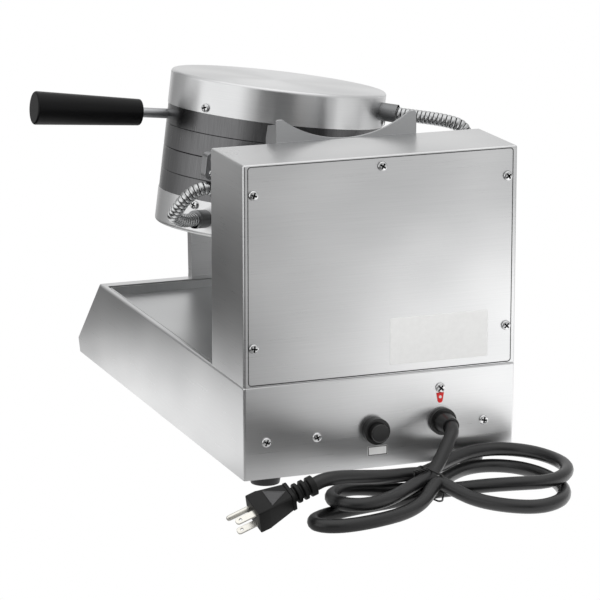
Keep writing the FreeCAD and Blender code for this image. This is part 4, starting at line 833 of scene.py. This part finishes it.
# %% Plug
PLUG = Matrix.Translation((0.1002, 0.3385, 0.0348)) @ Matrix.Rotation(math.radians(2), 4, "Z")
PLUG = PLUG @ Matrix.Rotation(math.radians(19.4), 4, "Y") @ Matrix.Rotation(math.radians(-119), 4, "X")
RELIEF_RADIUS = 8.6 * MM
RELIEF_RINGS = 67
RELIEF_STEP = 1 / 3000
RIB_START = 3.5 * MM
RIB_END = 21.5 * MM
RIB_PITCH = 6.2 * MM
RIB_DEPTH = 2.2 * MM
# Distance along the plug, width over the flats and corner radius
PLUG_SECTIONS = [
    (0.0208, 0.0168, 0.0050), (0.0213, 0.0192, 0.0034), (0.0240, 0.0195, 0.0034), (0.0244, 0.0180, 0.0028),
    (0.0250, 0.0182, 0.0024), (0.0465, 0.0241, 0.0017), (0.0475, 0.0245, 0.0015), (0.0562, 0.0245, 0.0015),
    (0.0568, 0.0241, 0.0013), (0.0570, 0.0233, 0.0011),
]


def plug_relief():
    """Three fat rings with deep grooves between them."""
    rings = []
    for i in range(RELIEF_RINGS):
        x = i * RELIEF_STEP
        wave = math.cos(2 * math.pi * (x - RIB_START) / RIB_PITCH)
        groove = RIB_DEPTH * min(1.0, max(0.0, 0.2 - wave)) if RIB_START < x < RIB_END else 0.0
        r = RELIEF_RADIUS - groove
        rings.append([PLUG @ Vector((x, r * math.cos(a), r * math.sin(a))) for a in full_turn(32)])
    return skin(rings)


def plug_shell():
    """A square collar, four sides that widen toward the face, and a straight block at the face."""
    return skin([[PLUG @ Vector((x, y, z)) for y, z in round_outline(wide, wide, corner, 5)]
                 for x, wide, corner in PLUG_SECTIONS])


# Where the sloping side starts, how far out it is there, and how fast it widens
SIDE_START = 25 * MM
SIDE_OUT = 9.1 * MM
SIDE_SLOPE = 0.00295 / 0.0215
MARK_CORNERS = [Vector((0.0262, 0, 0.0004)), Vector((0.0428, 0, 0.0090)), Vector((0.0428, 0, -0.0090))]
MARK_LIFT = 0.5 * MM
# How far each ring is pulled to the middle, and how high it stands on the side
MARK_RINGS = [
    (0.0, -0.8 * MM), (0.0, MARK_LIFT * 0.6), (0.06, MARK_LIFT), (0.14, MARK_LIFT), (0.18, MARK_LIFT * 0.3),
]


def triangle_plate():
    """A three-cornered grip mark on the sloping side that faces up."""
    middle = sum(MARK_CORNERS, Vector()) / 3
    rings = []
    for pull, rise in MARK_RINGS:
        ring = []
        for corner in MARK_CORNERS:
            p = corner.lerp(middle, pull)
            side = SIDE_OUT + SIDE_SLOPE * (p.x - SIDE_START)
            ring.append(PLUG @ Vector((p.x, -side - rise, p.z)))
        rings.append(ring)
    return skin(rings)


mark = piece("plug_grip_mark", [triangle_plate()], [MARK], "base", 30)
body = piece("plug_moulding", [plug_relief(), plug_shell()], [VINYL], "base", 30)
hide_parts("plug_body")

# %% [markdown]
# ## Blades of the plug
# Two flat blades with a hole near the tip and one round pin, at their standard spacing.
# The hole could be cut by a boolean. An outline and a hole of eight points each need no cut:
# they are joined point to point.

# %% Blades of the plug
FACE = 57 * MM
BLADE_TIP = 75 * MM
BLADE_RISE = 4.5 * MM
BLADE_HALF = 3.15 * MM
BLADE_HALF_THICK = 0.75 * MM
BLADE_APART = 12.7 * MM
PIN_DROP = 11.9 * MM
HOLE_BACK = 4.5 * MM
HOLE_RADIUS = 1.6 * MM
HOLE_DEGREES = (225, 270, 315, 345, 15, 45, 90, 135)
# Radius and distance along the round pin
PIN_STEPS = ((0.0024, 0.0), (0.0024, 0.0195), (0.0020, 0.0210), (0.0012, 0.0218), (0.0004, 0.0220))


def flat_blade(y):
    """A flat blade with a round tip and a hole near the tip."""
    lower = [(FACE - 0.001, -BLADE_HALF), (BLADE_TIP - 0.0018, -BLADE_HALF),
             (BLADE_TIP - 0.0005, -BLADE_HALF + 0.0008), (BLADE_TIP, -0.0012)]
    outer = lower + [(x, -z) for x, z in reversed(lower)]
    hole = [(BLADE_TIP - HOLE_BACK + HOLE_RADIUS * math.cos(a), HOLE_RADIUS * math.sin(a))
            for a in [math.radians(d) for d in HOLE_DEGREES]]
    points = []
    for level in (BLADE_HALF_THICK, -BLADE_HALF_THICK):
        points += [PLUG @ Vector((x, y + level, BLADE_RISE + z)) for x, z in outer + hole]
    faces = []
    for j in range(8):
        k = (j + 1) % 8
        faces.append([j, k, 8 + k, 8 + j])
        faces.append([16 + j, 24 + j, 24 + k, 16 + k])
        faces.append([j, 16 + j, 16 + k, k])
        faces.append([8 + j, 8 + k, 24 + k, 24 + j])
    return points, faces


def round_pin():
    """The earth pin, with a round nose."""
    where = PLUG @ frame_on((FACE - 0.001, 0, BLADE_RISE - PIN_DROP), (1, 0, 0))
    return skin([ring_at(where, r, h, 20) for r, h in PIN_STEPS])


pins = [flat_blade(BLADE_APART / 2), flat_blade(-BLADE_APART / 2), round_pin()]
blades = piece("plug_pins", pins, [BLADE], "base")
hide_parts("plug_blades")

# %% [markdown]
# ## Routes of the conduits
# Flexible conduit carries the heater wires from each half to the box behind the head. A few points say
# how it bends, a curve runs through them, and even steps along it let the ribs be all of one length.

# %% Routes of the conduits
LOWER_ROUTE = [
    (0.094, 0.1105, -0.0205), (0.101, 0.1105, -0.0205), (0.109, 0.108, -0.025), (0.1155, 0.104, -0.033),
    (0.119, 0.0985, -0.042), (0.119, 0.091, -0.050), (0.1066, 0.0803, -0.0545), (0.0914, 0.0689, -0.0545),
]
UPPER_ROUTE = [
    (-0.094, 0.1105, 0.0205), (-0.116, 0.1105, 0.0205), (-0.137, 0.109, 0.024), (-0.146, 0.105, 0.036),
    (-0.1435, 0.102, 0.049), (-0.1274, 0.096, 0.0545), (-0.0914, 0.0689, 0.0545),
]
STEPS_PER_SPAN = 24


def smooth_path(points):
    """Points close together along a curve through the given ones."""
    pts = [Vector(p) for p in points]
    pts = [2 * pts[0] - pts[1]] + pts + [2 * pts[-1] - pts[-2]]
    made = []
    for i in range(1, len(pts) - 2):
        for s in range(STEPS_PER_SPAN):
            t = s / STEPS_PER_SPAN
            a, b, c, d = pts[i - 1:i + 3]
            made.append(0.5 * (2 * b + (c - a) * t + (2 * a - 5 * b + 4 * c - d) * t * t
                               + (3 * b - a - 3 * c + d) * t ** 3))
    return made + [pts[-2]]


def even(path, gap):
    """The same path with its points a fixed gap apart."""
    made, rest = [path[0].copy()], gap
    for a, b in zip(path, path[1:]):
        length = (b - a).length
        while rest <= length:
            made.append(a.lerp(b, rest / length))
            rest += gap
        rest -= length
    return made


print("conduit curves have", [len(smooth_path(r)) for r in (LOWER_ROUTE, UPPER_ROUTE)], "points")


# %% [markdown]
# ## Ribbed conduits
# The conduit is wound from steel strip. Its ribs could be bump in the material. They show on the outline,
# so they are real: the tube's radius swells on each turn of the strip and drops in the groove between.

# %% Ribbed conduits
RIB_LENGTH = 3.8 * MM
STEPS_PER_RIB = 14
SIDES = 28
# Share of each turn that is band, the rest being groove
BAND = 0.86
BAND_RADIUS = 6.1 * MM
BAND_CROWN = 0.3 * MM
GROOVE_RADIUS = 5.3 * MM


def ribs(run):
    """A gently rounded band on each turn and a narrow groove where the next turn hooks in."""
    part = (run / RIB_LENGTH) % 1.0
    if part < BAND:
        return BAND_RADIUS - BAND_CROWN * (2 * part / BAND - 1) ** 2
    return GROOVE_RADIUS


def conduit(route_points):
    """The bright bands and the grooves coloured dark as painted shade, of a tube along a route, as two lists.
    """
    path = even([HEAD @ p for p in smooth_path(route_points)], RIB_LENGTH / STEPS_PER_RIB)
    points, faces = tube(path, ribs, SIDES)
    parts = [((i // SIDES + 0.5) / STEPS_PER_RIB) % 1.0 for i in range(len(faces))]
    # Faces in the grooves take the dark second material: painted shade
    groove = [face for face, part in zip(faces, parts) if part > BAND]
    band = [face for face, part in zip(faces, parts) if part <= BAND]
    return [chosen(points, band), chosen(points, groove)]


lower = piece("lower_ribbed_conduit", conduit(LOWER_ROUTE), [CONDUIT, RECESS_SHADE], "head", 40)
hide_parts("lower_conduit")
upper = piece("upper_ribbed_conduit", conduit(UPPER_ROUTE), [CONDUIT, RECESS_SHADE], None, 40)
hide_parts("upper_conduit")
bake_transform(upper)


# %% [markdown]
# ## Tones of the studio
# Metal shows what is round it, and in an all white room it would vanish. Cards and walls could be
# modelled round the machine. Tones by place and direction do the same with fewer things in the scene.

# %% Tones of the studio
def grey(tone):
    """A grey by its linear brightness."""
    return (tone, tone, tone, 1.0)


def ramp(tree, value, low, high, stops):
    """Grey tones along a measure; stops are places on it and how bright it is there."""
    share = add(tree, "ShaderNodeMapRange", {"Value": value, "From Min": low, "From Max": high})
    made = add(tree, "ShaderNodeValToRGB", {"Fac": share.outputs[0]})
    made.color_ramp.interpolation = "EASE"
    keys = made.color_ramp.elements
    while len(keys) < len(stops):
        keys.new(0.5)
    for key, (spot, tone) in zip(keys, stops):
        key.position = (spot - low) / (high - low)
        key.color = grey(tone)
    return made.outputs["Color"]


def shift(tree, value, low, high, before, after):
    """One tone below low, another above high, and a soft change between."""
    share = add(tree, "ShaderNodeMapRange", {"Value": value, "From Min": low, "From Max": high})
    made = add(tree, "ShaderNodeMix", {
        "Factor": share.outputs[0], "A": before, "B": after}, data_type="RGBA")
    return made.outputs["Result"]


# Degrees from +X round the machine, and how bright the room is that way
ROOM_TONES = [
    (-180, 0.60), (-113, 0.85), (-92, 0.75), (-76, 0.36), (-52, 0.48), (-34, 0.95), (-20, 1.35), (28, 1.35),
    (45, 0.60), (54, 0.10), (82, 0.10), (95, 0.55), (110, 0.70), (125, 0.72), (150, 0.70), (180, 0.60),
]


def by_turn(tree, parts):
    """How bright the room is in each direction round the machine."""
    angle = add(tree, "ShaderNodeMath", {0: parts.outputs[1], 1: parts.outputs[0]}, operation="ARCTAN2")
    degrees = add(tree, "ShaderNodeMath", {0: angle.outputs[0], 1: 180 / math.pi}, operation="MULTIPLY")
    return ramp(tree, degrees.outputs[0], -180, 180, ROOM_TONES)


print("room has", len(ROOM_TONES), "tones round the machine")


# %% [markdown]
# ## Studio floor
# The machine stands on clean white, so the floor is plain white to the eye. Mirror rays see a floor
# with a dark lane toward the viewer and another beside the machine, which give the sheet its tones,
# and all other rays see a pale matt floor.

# %% Studio floor
# Metres along a slant on which the rear panel sees the floor from its right edge to its left
SLANT = 0.379
SLANT_SPAN = (-1.0, 1.6)
LANE = [(0.47, 0.08), (0.80, 0.08), (1.08, 0.80), (1.40, 1.10)]
HEM = [(-0.80, 1.00), (-0.06, 1.55), (-0.01, 1.45), (0.06, 1.32), (0.15, 0.85), (0.20, 0.62), (0.30, 0.42)]
FIELD = [(-0.80, 1.00), (-0.06, 2.00), (-0.01, 1.80), (0.06, 1.32), (0.15, 0.68), (0.20, 0.42), (0.30, 0.25)]
# Metres from front to rear, beside the machine: dark toward its front
CLOSE_SPAN = (-1.0, 1.0)
CLOSE = [(-0.45, 0.28), (-0.38, 0.38), (-0.29, 0.70), (-0.19, 1.00), (-0.09, 1.12), (0.10, 1.10)]
# A hand's width away from its side the floor is darkest
FAR_SIDE = grey(0.06)
# Where one stretch begins to change to the next, and where it has changed
HEM_TO_FIELD = (0.45, 0.62)
CLOSE_TO_FAR = (0.24, 0.31)
SIDE_TO_REAR = (0.12, 0.24)
NEAR_TO_ROOM = (0.8, 1.3)
FLOOR_PAINT = grey(0.6)
FLOOR_HALF = 6


def studio_floor():
    """White to the eye, toned to mirror rays and pale to the rest."""
    made, tree = start_material("pale_floor")
    spot = add(tree, "ShaderNodeTexCoord").outputs["Object"]
    parts = add(tree, "ShaderNodeSeparateXYZ", {"Vector": spot})
    across, along = parts.outputs[0], parts.outputs[1]
    slant = add(tree, "ShaderNodeMath", {0: along, 1: SLANT, 2: across}, operation="MULTIPLY_ADD").outputs[0]
    hem = ramp(tree, slant, *SLANT_SPAN, HEM + LANE)
    field = ramp(tree, slant, *SLANT_SPAN, FIELD + LANE)
    behind = shift(tree, along, *HEM_TO_FIELD, hem, field)
    close = ramp(tree, along, *CLOSE_SPAN, CLOSE)
    beside = shift(tree, across, *CLOSE_TO_FAR, close, FAR_SIDE)
    near = shift(tree, along, *SIDE_TO_REAR, beside, behind)
    reach = add(tree, "ShaderNodeVectorMath", {0: spot}, operation="LENGTH").outputs["Value"]
    tone = shift(tree, reach, *NEAR_TO_ROOM, near, by_turn(tree, parts))
    paint = add(tree, "ShaderNodeBsdfDiffuse", {"Color": FLOOR_PAINT})
    mirror = add(tree, "ShaderNodeEmission", {"Color": tone, "Strength": 1.0})
    white = add(tree, "ShaderNodeEmission", {"Color": grey(1), "Strength": 1.0})
    path = add(tree, "ShaderNodeLightPath")
    low = add(tree, "ShaderNodeMixShader", {
        0: path.outputs["Is Glossy Ray"], 1: paint.outputs[0], 2: mirror.outputs[0]})
    mix = add(tree, "ShaderNodeMixShader", {
        0: path.outputs["Is Camera Ray"], 1: low.outputs[0], 2: white.outputs[0]})
    add(tree, "ShaderNodeOutputMaterial", {"Surface": mix.outputs[0]})
    return made


corners = [(x * FLOOR_HALF, y * FLOOR_HALF, 0) for x, y in ((-1, -1), (1, -1), (1, 1), (-1, 1))]
mesh = bpy.data.meshes.new("floor")
mesh.from_pydata(corners, [], [[0, 1, 2, 3]])
mesh.materials.append(studio_floor())
floor = bpy.data.objects.new("floor", mesh)
bpy.context.scene.collection.objects.link(floor)
print("floor", 2 * FLOOR_HALF, "metres wide")


# %% [markdown]
# ## Lamps
# Three large soft lamps light the paint, rubber and plastic: from behind on the left and on the right,
# and from above. One small lamp would cast hard shadows. They are kept out of mirror rays, because the
# metal already mirrors the room, and a lamp would burn a white patch into every face that meets it.

# %% Lamps
def softbox(name, spot, aim, size, power):
    """A rectangular lamp at a spot, turned to face its aim; power is in watts."""
    lamp = bpy.data.lights.new(name, "AREA")
    lamp.shape = "RECTANGLE"
    lamp.size, lamp.size_y = size
    lamp.energy = power
    made = bpy.data.objects.new(name, lamp)
    bpy.context.scene.collection.objects.link(made)
    made.location = spot
    made.rotation_euler = (Vector(aim) - Vector(spot)).to_track_quat("-Z", "Y").to_euler()
    made.visible_camera = False
    made.visible_glossy = False
    print(name, power, "watts")


TOWER_MIDDLE = (0, 0.1, 0.15)
softbox("key_softbox", (-1.5, 1.9, 1.5), TOWER_MIDDLE, (2.4, 2.4), 42)
softbox("fill_softbox", (1.9, 1.1, 1.1), TOWER_MIDDLE, (1.2, 1.6), 16)
softbox("top_softbox", (0.0, 0.0, 2.0), (0, 0, 0), (1.8, 1.8), 24)

# %% [markdown]
# ## Room
# The room round the floor is the world: white to the eye, an even grey light for matt surfaces, and
# for mirror rays the same tones by direction as the far floor, which fade into a pale upper wall.
# The ceiling is bright again, which draws a light line along the folded edges.

# %% Room
EVEN_LIGHT = lin("#b4b4b4")
UPPER_WALL = grey(0.80)
CEILING = grey(1.35)
# Heights of a direction, 0 level and 1 straight up, between which one tone fades into the next
WALL_FADE = (0.35, 0.60)
CEILING_FADE = (0.70, 0.85)
sky = bpy.data.worlds.new("white_room")
sky.use_nodes = True
tree = sky.node_tree
tree.nodes.clear()
path = add(tree, "ShaderNodeLightPath")
spot = add(tree, "ShaderNodeTexCoord")
parts = add(tree, "ShaderNodeSeparateXYZ", {"Vector": spot.outputs["Generated"]})
walls = shift(tree, parts.outputs[2], *WALL_FADE, by_turn(tree, parts), UPPER_WALL)
walls = shift(tree, parts.outputs[2], *CEILING_FADE, walls, CEILING)
room = add(tree, "ShaderNodeMix", {
    "Factor": path.outputs["Is Glossy Ray"], "A": EVEN_LIGHT, "B": walls}, data_type="RGBA")
shade = add(tree, "ShaderNodeMix", {
    "Factor": path.outputs["Is Camera Ray"], "A": room.outputs["Result"], "B": grey(1)}, data_type="RGBA")
light = add(tree, "ShaderNodeBackground", {"Color": shade.outputs["Result"], "Strength": 1.0})
add(tree, "ShaderNodeOutputWorld", {"Surface": light.outputs[0]})
bpy.context.scene.world = sky
print("world is", sky.name)
